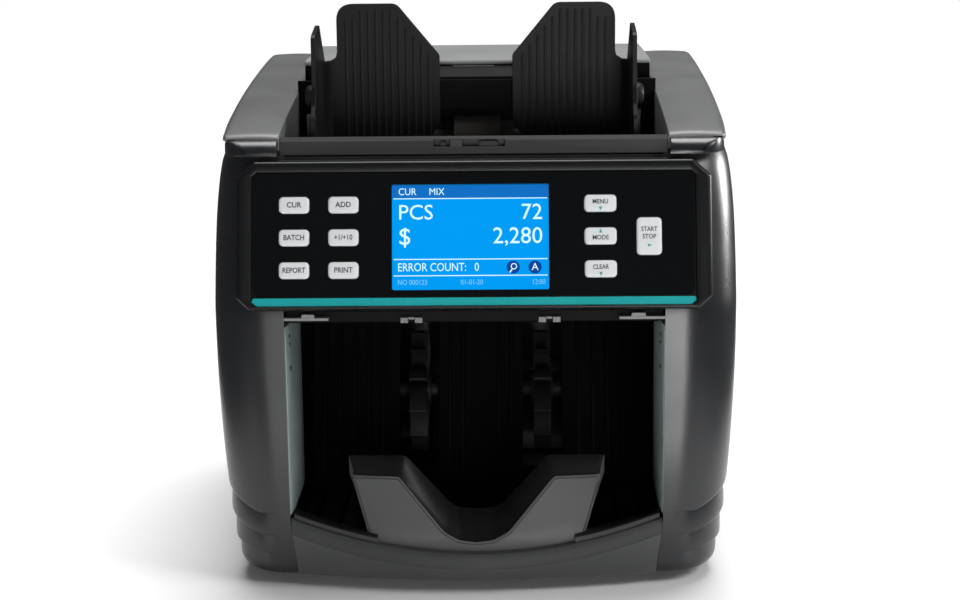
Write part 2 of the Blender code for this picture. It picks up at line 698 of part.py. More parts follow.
def build():
    for tag, side in (("left", -1), ("right", 1)):
        side_cover("side_cover_" + tag, side)
        upper_cheek("upper_cheek_" + tag, side)
        note_guide("note_guide_" + tag, side)
        pocket_wall("pocket_wall_" + tag, side)
        side_frame("side_frame_" + tag, side)
    rear_cover()
    top_cover()
    base_tray()
    base_front()
    for tag, x, y in (("front_left", -95, -78), ("front_right", 95, -78), ("rear_left", -95, 96), ("rear_right", 95, 96)):
        foot("foot_" + tag, x, y)
    front_bezel()
    panel_glass()
    lcd_display()
    teal_strip()
    for spec in KEYS:
        key(*spec)
    keypad_board()
    hopper_lip()
    hopper_floor()
    hopper_back()
    feed_gate()
    pocket_ceiling()
    pocket_header()
    pocket_back()
    note_stop()
    disc_z("guide_pinion", 0, -62.0, 3.8, 190.0, 194.0, "key_grey", 20)
    roller_shaft("pickup_rollers", PICKUP, 3.0, PICKUP_R, ((-36, -22), (22, 36)), (-111.0, 97.0), "rubber",
                 ((-104.4, -101.6, 8.0),))
    roller_shaft("feed_rollers", FEED, 4.0, FEED_R, ((-40, -30), (-24, -14), (14, 24), (30, 40)), (-114.0, 97.0),
                 "rubber", ((-104.4, -101.6, 8.0), (-112.4, -109.6, 8.0)))
    roller_shaft("retard_roller", RETARD, 3.0, RETARD_R, ((-12, 12),), (-23.0, 23.0), "rubber")
    roller_shaft("main_drum", DRUM, 5.0, DRUM_R, ((-62, -34), (-14, 14), (34, 62)), (-114.0, 97.0), "rubber",
                 ((-104.4, -101.6, 16.0), (-108.4, -105.6, 8.0), (-112.4, -109.6, 10.0)))
    roller_shaft("pinch_rollers", pinch_centre(PINCH_ANGLE), 2.5, PINCH_R, ((-60, -36), (-12, 12), (36, 60)),
                 (-97.0, 97.0), "steel", seg=20)
    stacker_wheels()
    drive_motor()
    roller_shaft("motor_pulley", MOTOR, 3.0, 7.0, ((-104.4, -101.6),), (-106.0, -96.9), "steel", seg=24)
    belt("belt_motor", MOTOR, 7.0, DRUM, 16.0, -104.2, -101.8)
    belt("belt_stacker", STACK, 20.0, DRUM, 8.0, -108.2, -105.8)
    belt("belt_feed", FEED, 8.0, DRUM, 10.0, -112.2, -109.8)
    belt("belt_pickup", PICKUP, 8.0, FEED, 8.0, -104.2, -101.8)
    box("sensor_bar", (-80, 22.0, 198.0), (80, 38.0, 210.0), "black_inner")
    main_board()
    power_supply()
    power_inlet()
    power_rocker()
    gap_knob()


clear_scene()
PART = new_collection("banknote_counter")
CUTTERS = new_collection("banknote_counter_cutters")
MATS = {
    "shell_dark": material("shell_dark", (0.060, 0.064, 0.072), 0.42),
    "shell_light": material("shell_light", (0.205, 0.215, 0.225), 0.45),
    "bezel_dark": material("bezel_dark", (0.050, 0.053, 0.060), 0.40),
    "panel_gloss": material("panel_gloss", (0.006, 0.006, 0.008), 0.08),
    "lcd_blue": material("lcd_blue", (0.030, 0.120, 0.620), 0.20),
    "teal": material("teal", (0.045, 0.330, 0.330), 0.35),
    "key_grey": material("key_grey", (0.560, 0.570, 0.580), 0.45),
    "guide_dark": material("guide_dark", (0.022, 0.023, 0.026), 0.40),
    "black_inner": material("black_inner", (0.012, 0.012, 0.013), 0.55),
    "pocket_grey": material("pocket_grey", (0.120, 0.130, 0.145), 0.45),
    "rubber": material("rubber", (0.015, 0.015, 0.016), 0.80),
    "steel": material("steel", (0.520, 0.530, 0.540), 0.32, 1.0),
    "pcb_green": material("pcb_green", (0.020, 0.160, 0.060), 0.45),
}
build()
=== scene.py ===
"""Looks for the banknote counter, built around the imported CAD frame. Lengths are millimetres until placed."""
import math

import bmesh
import bpy
from mathutils import Matrix, Vector


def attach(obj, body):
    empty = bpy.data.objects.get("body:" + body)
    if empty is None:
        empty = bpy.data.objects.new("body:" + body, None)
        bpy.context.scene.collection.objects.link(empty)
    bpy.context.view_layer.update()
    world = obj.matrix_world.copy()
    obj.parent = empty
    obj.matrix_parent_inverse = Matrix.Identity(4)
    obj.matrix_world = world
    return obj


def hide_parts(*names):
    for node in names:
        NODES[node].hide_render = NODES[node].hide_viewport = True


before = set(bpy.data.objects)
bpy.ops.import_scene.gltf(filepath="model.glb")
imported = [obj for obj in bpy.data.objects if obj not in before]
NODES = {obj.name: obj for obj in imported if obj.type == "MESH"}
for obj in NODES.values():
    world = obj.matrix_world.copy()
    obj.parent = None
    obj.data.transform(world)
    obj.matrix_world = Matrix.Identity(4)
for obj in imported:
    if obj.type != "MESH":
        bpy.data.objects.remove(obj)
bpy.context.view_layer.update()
MM = 0.001

# ---- sizes and outlines that several pieces share ---------------------------------------------
HALF_W = 126.5
BODY_REAR = 114.0
BASE_Z = 6.0
WALL = 2.6
REAR_FACE = 117.4
CORNER_R = 28.0
POCKET_HALF = 90.0
RIM_MID = 19.5
RIM_END = 34.0
LIP_DROP = 14.5
FRONT_MID = -124.0
PANEL_C = (0.0, -112.0, 173.0)
TILT = math.radians(16.0)
LETTER_DEPTH = 0.05
CAPITAL_HEIGHT = 0.7
WHITE = (1.0, 1.0, 1.0, 1)
KEY_ROW = 15.4
KEYS = (
    ("key_currency", -84.1, KEY_ROW, 14.2, 7.8),
    ("key_add", -60.9, KEY_ROW, 14.2, 7.8),
    ("key_batch", -84.1, 0.0, 14.2, 7.8),
    ("key_step", -60.9, 0.0, 14.2, 7.8),
    ("key_report", -84.1, -KEY_ROW, 14.2, 7.8),
    ("key_print", -60.9, -KEY_ROW, 14.2, 7.8),
    ("key_menu", 59.5, KEY_ROW, 15.0, 8.0),
    ("key_mode", 59.5, 0.0, 15.0, 8.0),
    ("key_clear", 59.5, -KEY_ROW, 15.0, 8.0),
    ("key_start", 82.2, -0.2, 11.7, 17.6),
)
SIDE_HALF = ((6, 118.0), (14, 119.6), (30, 121.6), (45, 123.0), (70, 124.8), (105, 126.3), (140, HALF_W),
             (175, 126.0), (195, 124.6), (207, 122.6), (214, 120.4))
FRONT_Y = ((6, -109.8), (34, -111.6), (80, -112.6), (131, -112.4), (137, -112.1), (150, -108.6), (175, -101.4),
           (195, -95.6), (205, -92.6), (214, -88.4))
CHEEK_TOP = ((-96, 213.0), (-92, 216.0), (-86, 218.6), (-76, 220.8), (-50, 225.0), (0, 231.5), (50, 236.8),
             (90, 240.2), (108, 241.0), (114, 239.0))


# ---- small maths ------------------------------------------------------------------------------
def smooth_curve(table, t):
    """Smooth curve through (t, value) pairs, level beyond both ends."""
    if t <= table[0][0]:
        return table[0][1]
    if t >= table[-1][0]:
        return table[-1][1]
    i = max(k for k in range(len(table) - 1) if table[k][0] <= t)
    (x0, y0), (x1, y1) = table[i], table[i + 1]
    h = x1 - x0
    slope = (y1 - y0) / h
    m0 = slope if i == 0 else (y1 - table[i - 1][1]) / (x1 - table[i - 1][0])
    m1 = slope if i + 2 >= len(table) else (table[i + 2][1] - y0) / (table[i + 2][0] - x0)
    k = (t - x0) / h
    return ((2 * k ** 3 - 3 * k ** 2 + 1) * y0 + (k ** 3 - 2 * k ** 2 + k) * h * m0
            + (-2 * k ** 3 + 3 * k ** 2) * y1 + (k ** 3 - k ** 2) * h * m1)


def straight(table, t):
    """Straight lines through (t, value) pairs."""
    for (t0, v0), (t1, v1) in zip(table, table[1:]):
        if t0 <= t <= t1:
            return v0 + (v1 - v0) * (t - t0) / max(1e-6, t1 - t0)
    return table[-1][1]


def ramp(t, a, b):
    """Smooth step from 0 at a to 1 at b."""
    k = min(1.0, max(0.0, (t - a) / (b - a)))
    return k * k * (3 - 2 * k)


def seam_z(y):
    """Height of the seam between a side cover and its cap."""
    return 209.6 - 10.5 * max(0.0, (y + 95.0) / 209.0) ** 1.5


def pocket_edge(z):
    """Half width of the pocket, a little narrower below the rim."""
    return POCKET_HALF - 3.0 * (1 - min(1.0, max(0.0, (z - BASE_Z) / (RIM_END - BASE_Z))))


def panel_point(u, v, w):
    """Point u across, v up and w out of the tilted key panel."""
    s, c = math.sin(TILT), math.cos(TILT)
    return (PANEL_C[0] + u, PANEL_C[1] + v * s - w * c, PANEL_C[2] + v * c + w * s)


def circle(u, v, r, seg):
    turns = [2 * math.pi * k / seg for k in range(seg)]
    return [(u + r * math.cos(a), v + r * math.sin(a)) for a in turns]


def rounded_rect(u, v, w, h, r, seg=6):
    pts = []
    for cx, cy, a0 in ((1, 1, 0), (-1, 1, 90), (-1, -1, 180), (1, -1, 270)):
        for k in range(seg + 1):
            a = math.radians(a0 + 90 * k / seg)
            pts.append((u + cx * (w / 2 - r) + r * math.cos(a), v + cy * (h / 2 - r) + r * math.sin(a)))
    return pts


def round_corners(points, radius, seg=5):
    """Round the corners of a closed 2-D outline; radius is one number or one per corner."""
    out = []
    n = len(points)
    for i in range(n):
        r = radius[i] if isinstance(radius, (list, tuple)) else radius
        p = Vector(points[i])
        a = Vector(points[i - 1])
        b = Vector(points[(i + 1) % n])
        da, db = a - p, b - p
        la, lb = da.length, db.length
        if r <= 0.01:
            out.append(tuple(p))
            continue
        da, db = da / la, db / lb
        half = math.acos(max(-1.0, min(1.0, da.dot(db)))) / 2
        if half > 1.55:
            out.append(tuple(p))
            continue
        d = min(r / math.tan(half), 0.48 * la, 0.48 * lb)
        for k in range(seg + 1):
            t = k / seg
            q = p + da * d * (1 - t) ** 2 + db * d * t ** 2
            out.append((q.x, q.y))
    return out


# ---- materials --------------------------------------------------------------------------------
MIX_SOCKETS = {"FLOAT": (2, 3, 0), "RGBA": (6, 7, 2)}
BLACK = (0.0, 0.0, 0.0, 1)


def new_look(name):
    """A node material, with its tree, its Principled BSDF and its object coordinates."""
    mat = bpy.data.materials.new(name)
    mat.use_nodes = True
    tree = mat.node_tree
    return mat, tree, tree.nodes["Principled BSDF"], tree.nodes.new("ShaderNodeTexCoord").outputs["Object"]


def set_inputs(target, **values):
    """Set a node's inputs by name, with underscores for the spaces."""
    for name, value in values.items():
        target.inputs[name.replace("_", " ")].default_value = value


def node(tree, kind, vector, **values):
    """A texture or mapping node that reads a vector."""
    n = tree.nodes.new(kind)
    set_inputs(n, **values)
    tree.links.new(vector, n.inputs["Vector"])
    return n


def noise(tree, vector, scale, detail, roughness=0.5):
    n = node(tree, "ShaderNodeTexNoise", vector, Scale=scale, Detail=detail, Roughness=roughness)
    return n.outputs["Fac"]


def tint(rgb, gain, lift=0.0):
    return (*[min(1.0, c * gain + lift) for c in rgb], 1)


def mix(tree, kind, factor, a, b):
    """Mix a and b. Each of the three is a value or a socket, and the result is a socket."""
    n = tree.nodes.new("ShaderNodeMix")
    n.data_type = kind
    low, high, result = MIX_SOCKETS[kind]
    for index, value in ((0, factor), (low, a), (high, b)):
        if isinstance(value, bpy.types.NodeSocket):
            tree.links.new(value, n.inputs[index])
        else:
            n.inputs[index].default_value = value
    return n.outputs[result]


def spread(tree, value, to_min, to_max, from_min=0.3, from_max=0.7):
    """Map a value linearly from one range to another; the default range is where noise mostly lies."""
    n = tree.nodes.new("ShaderNodeMapRange")
    set_inputs(n, From_Min=from_min, From_Max=from_max, To_Min=to_min, To_Max=to_max)
    tree.links.new(value, n.inputs["Value"])
    return n.outputs["Result"]


def add_bump(tree, bsdf, height, strength, distance):
    n = tree.nodes.new("ShaderNodeBump")
    set_inputs(n, Strength=strength, Distance=distance)
    tree.links.new(height, n.inputs["Height"])
    tree.links.new(n.outputs["Normal"], bsdf.inputs["Normal"])


def plastic(name, rgb, rough, grain=1500, bump=0.10, vary=0.07, edge=0.0, spec=0.5, coat=0.0, metal=0.0,
            blotch=26.0, rough_vary=0.10):
    """Moulded or painted surface: fine grain, soft blotches in colour and gloss, lighter sharp edges."""
    mat, tree, bsdf, place = new_look(name)
    set_inputs(bsdf, Metallic=metal, Specular_IOR_Level=spec, Coat_Weight=coat, Coat_Roughness=0.08)
    big = noise(tree, place, blotch, 4.0, 0.6)
    speck = noise(tree, place, grain * 0.33, 3.0, 0.7)
    blend = mix(tree, "FLOAT", 0.35, big, speck)
    colour = mix(tree, "RGBA", spread(tree, blend, 0.0, 1.0), tint(rgb, 1 - vary), tint(rgb, 1 + vary))
    if edge > 0:
        # colour lifted on sharply convex edges
        pointiness = tree.nodes.new("ShaderNodeNewGeometry").outputs["Pointiness"]
        edge_lift = spread(tree, pointiness, 0.0, edge, 0.53, 0.62)
        colour = mix(tree, "RGBA", edge_lift, colour, tint(rgb, 2.2, 0.04))
    tree.links.new(colour, bsdf.inputs["Base Color"])
    gloss = spread(tree, big, max(0.02, rough * (1 - rough_vary)), min(1.0, rough * (1 + rough_vary)))
    tree.links.new(gloss, bsdf.inputs["Roughness"])
    if bump > 0:
        add_bump(tree, bsdf, noise(tree, place, grain, 2.0, 0.55), bump, 0.0004)
    return mat


def brushed_metal(name, rgb, rough):
    """Rolled or turned metal with fine lines along the object's x axis."""
    mat, tree, bsdf, place = new_look(name)
    set_inputs(bsdf, Metallic=1.0)
    stretched = node(tree, "ShaderNodeMapping", place, Scale=(1.0, 60.0, 60.0)).outputs["Vector"]
    lines = noise(tree, stretched, 40.0, 4.0, 0.6)
    tree.links.new(mix(tree, "RGBA", lines, tint(rgb, 0.82), tint(rgb, 1.12)), bsdf.inputs["Base Color"])
    tree.links.new(spread(tree, lines, rough * 0.75, rough * 1.3, 0.0, 1.0), bsdf.inputs["Roughness"])
    add_bump(tree, bsdf, lines, 0.05, 0.0002)
    return mat


def lit(name, rgb, strength):
    """A lit display area: even glow with the faint grid of its cells."""
    mat, tree, bsdf, place = new_look(name)
    set_inputs(bsdf, Roughness=0.25, Specular_IOR_Level=0.02, Emission_Strength=strength)
    cells = node(tree, "ShaderNodeTexBrick", place, Scale=2600.0, Mortar_Size=0.03, Color1=tint(rgb, 1.0),
                 Color2=tint(rgb, 0.97), Mortar=tint(rgb, 0.9))
    cells.offset = 0.0
    glow = mix(tree, "RGBA", noise(tree, place, 18.0, 1.0), cells.outputs["Color"], tint(rgb, 1.08))
    tree.links.new(glow, bsdf.inputs["Emission Color"])
    tree.links.new(mix(tree, "RGBA", 0.85, glow, BLACK), bsdf.inputs["Base Color"])
    return mat


M = {
    "shell_dark": plastic("shell_dark_look", (0.0120, 0.0128, 0.0145), 0.30, vary=0.08, edge=0.25),
    "shell_light": plastic("shell_light_look", (0.112, 0.114, 0.114), 0.42, vary=0.06, edge=0.2),
    "lid": plastic("lid_look", (0.250, 0.254, 0.254), 0.44, vary=0.05, edge=0.2),
    "base_grey": plastic("base_grey_look", (0.047, 0.048, 0.050), 0.38, edge=0.25),
    "trim_grey": plastic("trim_grey_look", (0.150, 0.152, 0.152), 0.40, bump=0.08, edge=0.25, spec=0.25),
    "tray_black": plastic("tray_black_look", (0.0055, 0.0055, 0.006), 0.34, bump=0.08, vary=0.10, edge=0.25),
    # partly painted shade: black rubber, made darker still to stand in for the shade inside the pocket
    "finger": plastic("finger_rubber_painted_shade_look", (0.0100, 0.0100, 0.0105), 0.66, grain=800, bump=0.25, vary=0.15),
    "knob": plastic("knob_look", (0.050, 0.051, 0.053), 0.48, edge=0.3),
    "plate": plastic("blank_plate_look", (0.420, 0.425, 0.430), 0.38, grain=900, bump=0.03, vary=0.04,
                     metal=0.5),
    "lip_grey": plastic("lip_grey_look", (0.0265, 0.0272, 0.0272), 0.40, bump=0.08, edge=0.3, spec=0.15),
    "bezel": plastic("bezel_look", (0.0062, 0.0066, 0.0074), 0.33, bump=0.07, vary=0.08, edge=0.3, spec=0.22),
    "glass": plastic("panel_gloss_look", (0.0022, 0.0026, 0.0030), 0.09, grain=60, bump=0.0, vary=0.15,
                     blotch=9.0, coat=0.35, spec=0.35, rough_vary=0.25),
    "teal": plastic("teal_look", (0.011, 0.315, 0.325), 0.30, grain=1200, bump=0.03, vary=0.06, coat=0.1,
                    spec=0.2),
    "key": plastic("key_grey_look", (0.640, 0.655, 0.665), 0.42, grain=2200, bump=0.05, vary=0.025),
    "ink": plastic("legend_ink_look", (0.006, 0.0065, 0.008), 0.60, grain=3000, bump=0.02, vary=0.1),
    "ink_teal": plastic("legend_teal_look", (0.010, 0.300, 0.300), 0.50, grain=3000, bump=0.02, vary=0.1),
    "guide": plastic("guide_black_look", (0.0085, 0.0088, 0.0094), 0.40, grain=1600, bump=0.08, vary=0.12,
                     edge=0.3, spec=0.1),
    "inner": plastic("black_inner_look", (0.0085, 0.0088, 0.0092), 0.50, grain=1400, bump=0.08, vary=0.15,
                     edge=0.2),
    # painted shade: near-black plastic made darker still, standing in for the shade inside the pocket, the
    # hopper and behind the lid's front
    "black_painted_shade": plastic("pocket_black_painted_shade_look", (0.0028, 0.0029, 0.0031), 0.55, grain=1400, bump=0.08, vary=0.15,
                    spec=0.07),
    "pocket": plastic("pocket_grey_look", (0.230, 0.285, 0.280), 0.36, bump=0.07, vary=0.08, edge=0.25),
    "stop_face": plastic("note_stop_look", (0.088, 0.089, 0.089), 0.38, bump=0.08, edge=0.3, spec=0.2),
    "stop_dark": plastic("note_stop_dark_look", (0.0080, 0.0080, 0.0082), 0.38, bump=0.07, vary=0.1, spec=0.2),
    "rubber": plastic("rubber_look", (0.014, 0.014, 0.015), 0.78, grain=700, bump=0.35, vary=0.18),
    "grip": plastic("roller_rubber_look", (0.048, 0.045, 0.041), 0.70, grain=620, bump=0.4, vary=0.15),
    "steel": brushed_metal("steel_look", (0.56, 0.57, 0.58), 0.30),
    "dark_steel": brushed_metal("dark_steel_look", (0.20, 0.20, 0.21), 0.38),
    "board": plastic("board_green_look", (0.010, 0.085, 0.034), 0.35, grain=500, vary=0.2, coat=0.4),
    "chip": plastic("chip_black_look", (0.012, 0.012, 0.013), 0.5, grain=1200, vary=0.1),
    "white": plastic("strip_white_look", (0.50, 0.52, 0.52), 0.40, bump=0.04, vary=0.05),
    "lens": plastic("sensor_lens_look", (0.012, 0.004, 0.006), 0.06, grain=100, bump=0.0, vary=0.2, coat=1.0),
    "lcd": lit("lcd_blue_look", (0.0004, 0.308, 0.850), 0.92),
    "lcd_bar": lit("lcd_bar_look", (0.006, 0.150, 0.520), 0.90),
    "lcd_ink": lit("lcd_ink_look", (0.62, 0.88, 1.0), 1.0),
    "lcd_dim": lit("lcd_dim_look", (0.20, 0.58, 0.95), 0.9),
    "lcd_icon": lit("lcd_icon_look", (0.006, 0.060, 0.330), 0.8),
}


# ---- making pieces ----------------------------------------------------------------------------
def new_object(name, mesh):
    obj = bpy.data.objects.new(name, mesh)
    bpy.context.scene.collection.objects.link(obj)
    return obj


def finish_piece(obj, mat, body, replaces=None):
    """Give a piece its material, hang it on the empty of the body it rides on, and hide the CAD node it
    replaces.
    """
    obj.data.materials.clear()
    obj.data.materials.append(M[mat])
    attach(obj, body)
    if replaces:
        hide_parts(replaces)
    return obj


def make(name, shape, mat, body="housing", replaces=None, angle=35.0, bevel=None):
    """A piece from (verts, faces), smooth up to the angle; bevel is (width, segments, angle)."""
    verts, faces = shape
    mesh = bpy.data.meshes.new(name)
    mesh.from_pydata([Vector(v) * MM for v in verts], [], faces)
    bm = bmesh.new()
    bm.from_mesh(mesh)
    bmesh.ops.recalc_face_normals(bm, faces=bm.faces)
    bm.to_mesh(mesh)
    bm.free()
    mesh.shade_smooth()
    mesh.set_sharp_from_angle(angle=math.radians(angle))
    obj = finish_piece(new_object(name, mesh), mat, body, replaces)
    if bevel:
        mod = obj.modifiers.new("bevel", "BEVEL")
        mod.width = bevel[0] * MM
        mod.segments = bevel[1]
        mod.limit_method = "ANGLE"
        mod.angle_limit = math.radians(bevel[2])
        mod.harden_normals = False
    return obj


def skin(rings, cap=True):
    """Join rings of equal length, with flat caps at both ends."""
    n = len(rings[0])
    verts = [p for ring in rings for p in ring]
    faces = []
    for i in range(len(rings) - 1):
        for j in range(n):
            k = (j + 1) % n
            faces.append((i * n + j, i * n + k, (i + 1) * n + k, (i + 1) * n + j))
    if cap:
        faces.append(tuple(range(n))[::-1])
        faces.append(tuple((len(rings) - 1) * n + j for j in range(n)))
    return verts, faces


def hoop(rings):
    """Join rings into a closed frame, the last one back to the first."""
    verts, faces = skin(rings, cap=False)
    n = len(rings[0])
    last = (len(rings) - 1) * n
    faces += [(last + j, last + (j + 1) % n, (j + 1) % n, j) for j in range(n)]
    return verts, faces


def merge(parts):
    """Join several (verts, faces) into one."""
    verts, faces = [], []
    for v, f in parts:
        base = len(verts)
        verts += list(v)
        faces += [tuple(i + base for i in face) for face in f]
    return verts, faces


def ribs(places, section, stations):
    """One rib for each place, skinned through section(place, *station)."""
    return merge([skin([section(place, *station) for station in stations]) for place in places])


def slab(lo, hi):
    ring = [(lo[0], lo[1]), (hi[0], lo[1]), (hi[0], hi[1]), (lo[0], hi[1])]
    return skin([[(x, y, z) for x, y in ring] for z in (lo[2], hi[2])])


PLACE = {
    "x": lambda a, b, t: (t, a, b),
    "y": lambda a, b, t: (a, t, b),
    "z": lambda a, b, t: (a, b, t),
    "w": panel_point,
}


def prism(axis, outline, start, end):
    """Extrude a 2-D outline along x, y, z or the panel normal w."""
    return skin([[PLACE[axis](a, b, t) for a, b in outline] for t in (start, end)])


def turned(axis, centre, profile, seg=40):
    """Turn (position, radius) pairs about a line along x, y or z through centre."""
    return skin([[PLACE[axis](a, b, t) for a, b in circle(*centre, r, seg)] for t, r in profile])


def paint(mat, *names):
    """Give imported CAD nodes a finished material."""
    for name in names:
        obj = NODES[name]
        obj.data.materials.clear()
        obj.data.materials.append(M[mat])


def text(name, words, u, v, height, mat, body="housing", w=1.05, align="CENTER", squeeze=1.0, bold=0.0):
    """Short generic lettering lying on the panel plane, as a thin mesh."""
    curve = bpy.data.curves.new(name, "FONT")
    curve.body = words
    curve.align_x = align
    curve.align_y = "CENTER"
    curve.size = 1.0
    curve.extrude = LETTER_DEPTH / 2
    curve.resolution_u = 3
    curve.offset = bold
    temp = new_object(name + "_tmp", curve)
    bpy.context.view_layer.update()
    mesh = bpy.data.meshes.new_from_object(temp.evaluated_get(bpy.context.evaluated_depsgraph_get()))
    bpy.data.objects.remove(temp)
    scale = height / CAPITAL_HEIGHT
    for vert in mesh.vertices:
        x, y, z = vert.co
        vert.co = Vector(panel_point(u + x * scale * squeeze, v + y * scale, w + z)) * MM
    mesh.name = name
    return finish_piece(new_object(name, mesh), mat, body)


# ---- outer shell --------------------------------------------------------------------------------
FINS = ((48.0, 37.5, 5.0), (33.5, 26.0, 8.0), (19.5, 16.5, 11.0))


def fin_lines(arc):
    """Heights of the three swept steps, arc millimetres round from the pocket's edge."""
    out = []
    for high, low, _ in FINS:
        along = min(1.0, max(0.0, (arc - 16.0) / 27.0))
        out.append(low + (high - low) * along + 0.05 * max(0.0, min(arc, 140.0) - 43.0))
    return out


def fin_rows():
    """Row heights as they run along the side, with close rows at each step."""
    rows = [6.0, 6.4, 7.0, 8.0, 9.2]
    lows = (8.0, 19.5, 33.5, 48.0)
    for i, line in enumerate((19.5, 33.5, 48.0)):
        start = lows[i] + (1.2 if i == 0 else 0.9)
        n = 11
        rows += [start + (line - 1.1 - start) * k / n for k in range(1, n + 1)]
        rows += [line - 0.75, line - 0.45, line - 0.2, line, line + 0.25, line + 0.6]
    rows += [49.8, 51.5, 54.0, 57.0, 60.0]
    rows += [62.0 + 4.0 * k for k in range(37)]
    return rows


def fin_depth(q, arc):
    """How far the swept steps pull the surface in, at row height q."""
    depth = 0.0
    for high, _, start in FINS:
        fade = ramp(arc, start, start + 9.0) * (1 - ramp(arc, 80.0, 135.0))
        below = high - q
        if below < -0.6:
            continue
        if below < 0:
            shape = 0.14 * (1 + below / 0.6) ** 2
        elif below < 0.6:
            shape = 0.14 + 0.86 * ramp(below, 0.0, 0.6)
        else:
            shape = max(0.0, 1 - (below - 0.6) / 12.6) ** 1.2
        depth = max(depth, 1.9 * fade * shape)
    return depth


def cover_plan():
    """Columns of a side cover, from the pocket's edge round the corner to the rear: (stretch, place on it)."""
    plan = [("front", t) for t in (0.0, 0.08, 0.5, 1.0)]
    plan += [("corner", a) for a in range(3, 91, 3)]
    side = (-80, -76, -72, -68, -62, -56, -50, -42, -34, -24, -12, 2, 20, 40, 60, 80, 96, 106, BODY_REAR)
    return plan + [("side", y) for y in side]


def cover_arc(kind, t):
    """Millimetres round from the pocket's edge to a column."""
    if kind == "front":
        return 4.0 * t
    if kind == "corner":
        return 4.0 + CORNER_R * math.radians(t)
    return 4.0 + CORNER_R * math.pi / 2 + max(0.0, t + 82.0)


def cover_point(kind, t, z, inset):
    """Point of the right cover's smooth surface, inset by a wall, and its outward direction in plan."""
    half, front = smooth_curve(SIDE_HALF, z), smooth_curve(FRONT_Y, z)
    corner_x, corner_y = half - CORNER_R, front + CORNER_R
    if kind == "front":
        x_in = pocket_edge(z) + 0.2
        return x_in + (corner_x - x_in) * t, front + inset, 0.0, -1.0
    if kind == "corner":
        a = math.radians(t)
        r = CORNER_R - inset
        return corner_x + r * math.sin(a), corner_y - r * math.cos(a), math.sin(a), -math.cos(a)
    y = max(t, corner_y + 0.5 * (t + 82.0) / 10.0 if t < -50 else corner_y)
    return half - inset, y, 1.0, 0.0


def cover_column(kind, t, rows, inset):
    """Points up one column: rows follow the swept steps, and the outer face carries their relief."""
    y_here = t if kind == "side" else -91.5
    if kind == "corner":
        y_here += CORNER_R * (1 - math.cos(math.radians(t)))
    arc = cover_arc(kind, t)
    upper, middle, lower = fin_lines(arc)
    heights = ((6.0, 6.0), (8.0, 8.0), (19.5, lower), (33.5, middle), (48.0, upper), (62.0, 62.0),
               (206.0, seam_z(y_here) - 0.6))
    column = []
    for q in rows:
        z = straight(heights, q)
        x, y, nx, ny = cover_point(kind, t, z, inset)
        push = 0.0
        if inset == 0.0:
            round_foot = 1.7 * (1 - min(1.0, (z - BASE_Z) / 4.5)) ** 2
            push = fin_depth(q, arc) + round_foot + (0.35 if q >= 205.9 else 0.0)
        column.append((x - nx * push, y - ny * push, z))
    return column


def side_cover(tag, side):
    """Side cover with its round corner and the swept steps, as one closed shell."""
    rows, plan = fin_rows(), cover_plan()
    columns = [cover_column(kind, t, rows, inset) for inset in (0.0, WALL) for kind, t in plan]
    verts = [(side * x, y, z) for column in columns for x, y, z in column]
    n, m = len(rows), len(plan)
    inner = n * m
    faces = []
    for i in range(m - 1):
        for j in range(n - 1):
            a, b = i * n + j, (i + 1) * n + j
            faces += [(a, b, b + 1, a + 1), (inner + a, inner + a + 1, inner + b + 1, inner + b)]
    rims = [(i * n + j, (i + 1) * n + j) for i in range(m - 1) for j in (0, n - 1)]
    rims += [(i * n + j, i * n + j + 1) for j in range(n - 1) for i in (0, m - 1)]
    faces += [(a, b, inner + b, inner + a) for a, b in rims]
    make("side_cover_%s_shell" % tag, (verts, faces), "shell_dark", replaces="side_cover_" + tag,
         angle=32)


CAP_LOW = ((-88.4, 216.6), (-80, 215.3), (-65, 212.2), (-50, 209.6), (-35, 208.0))
CAP_OUT = ((-88.4, 118.4), (-86, 119.7), (-80, 120.8), (-60, 121.8), (0, 122.2), (60, 121.6), (114, 120.6))
CAP_FRONT = ((-88.4, 217.0), (-87.6, 217.9), (-86, 218.7), (-76, 220.8))
NOSE_TOP = ((-96, 210.8), (-95.5, 212.4), (-94, 214.3), (-91.4, 215.8), (-88.8, 216.4))
NOSE_OUT = ((-96, 108.2), (-95, 112.0), (-92, 115.6), (-88, 118.0), (-80, 120.0), (-60, 121.6), (-36, 122.2))


def cap_low(y):
    """Lower edge of a cap's outer face."""
    return smooth_curve(CAP_LOW, y) if y < -35 else seam_z(y)


def cap_inner(y):
    """Inner face of a cap, where the hopper narrows to the rear."""
    return 92.6 - 1.9 * max(0.0, (y + 88.0) / 202.0)


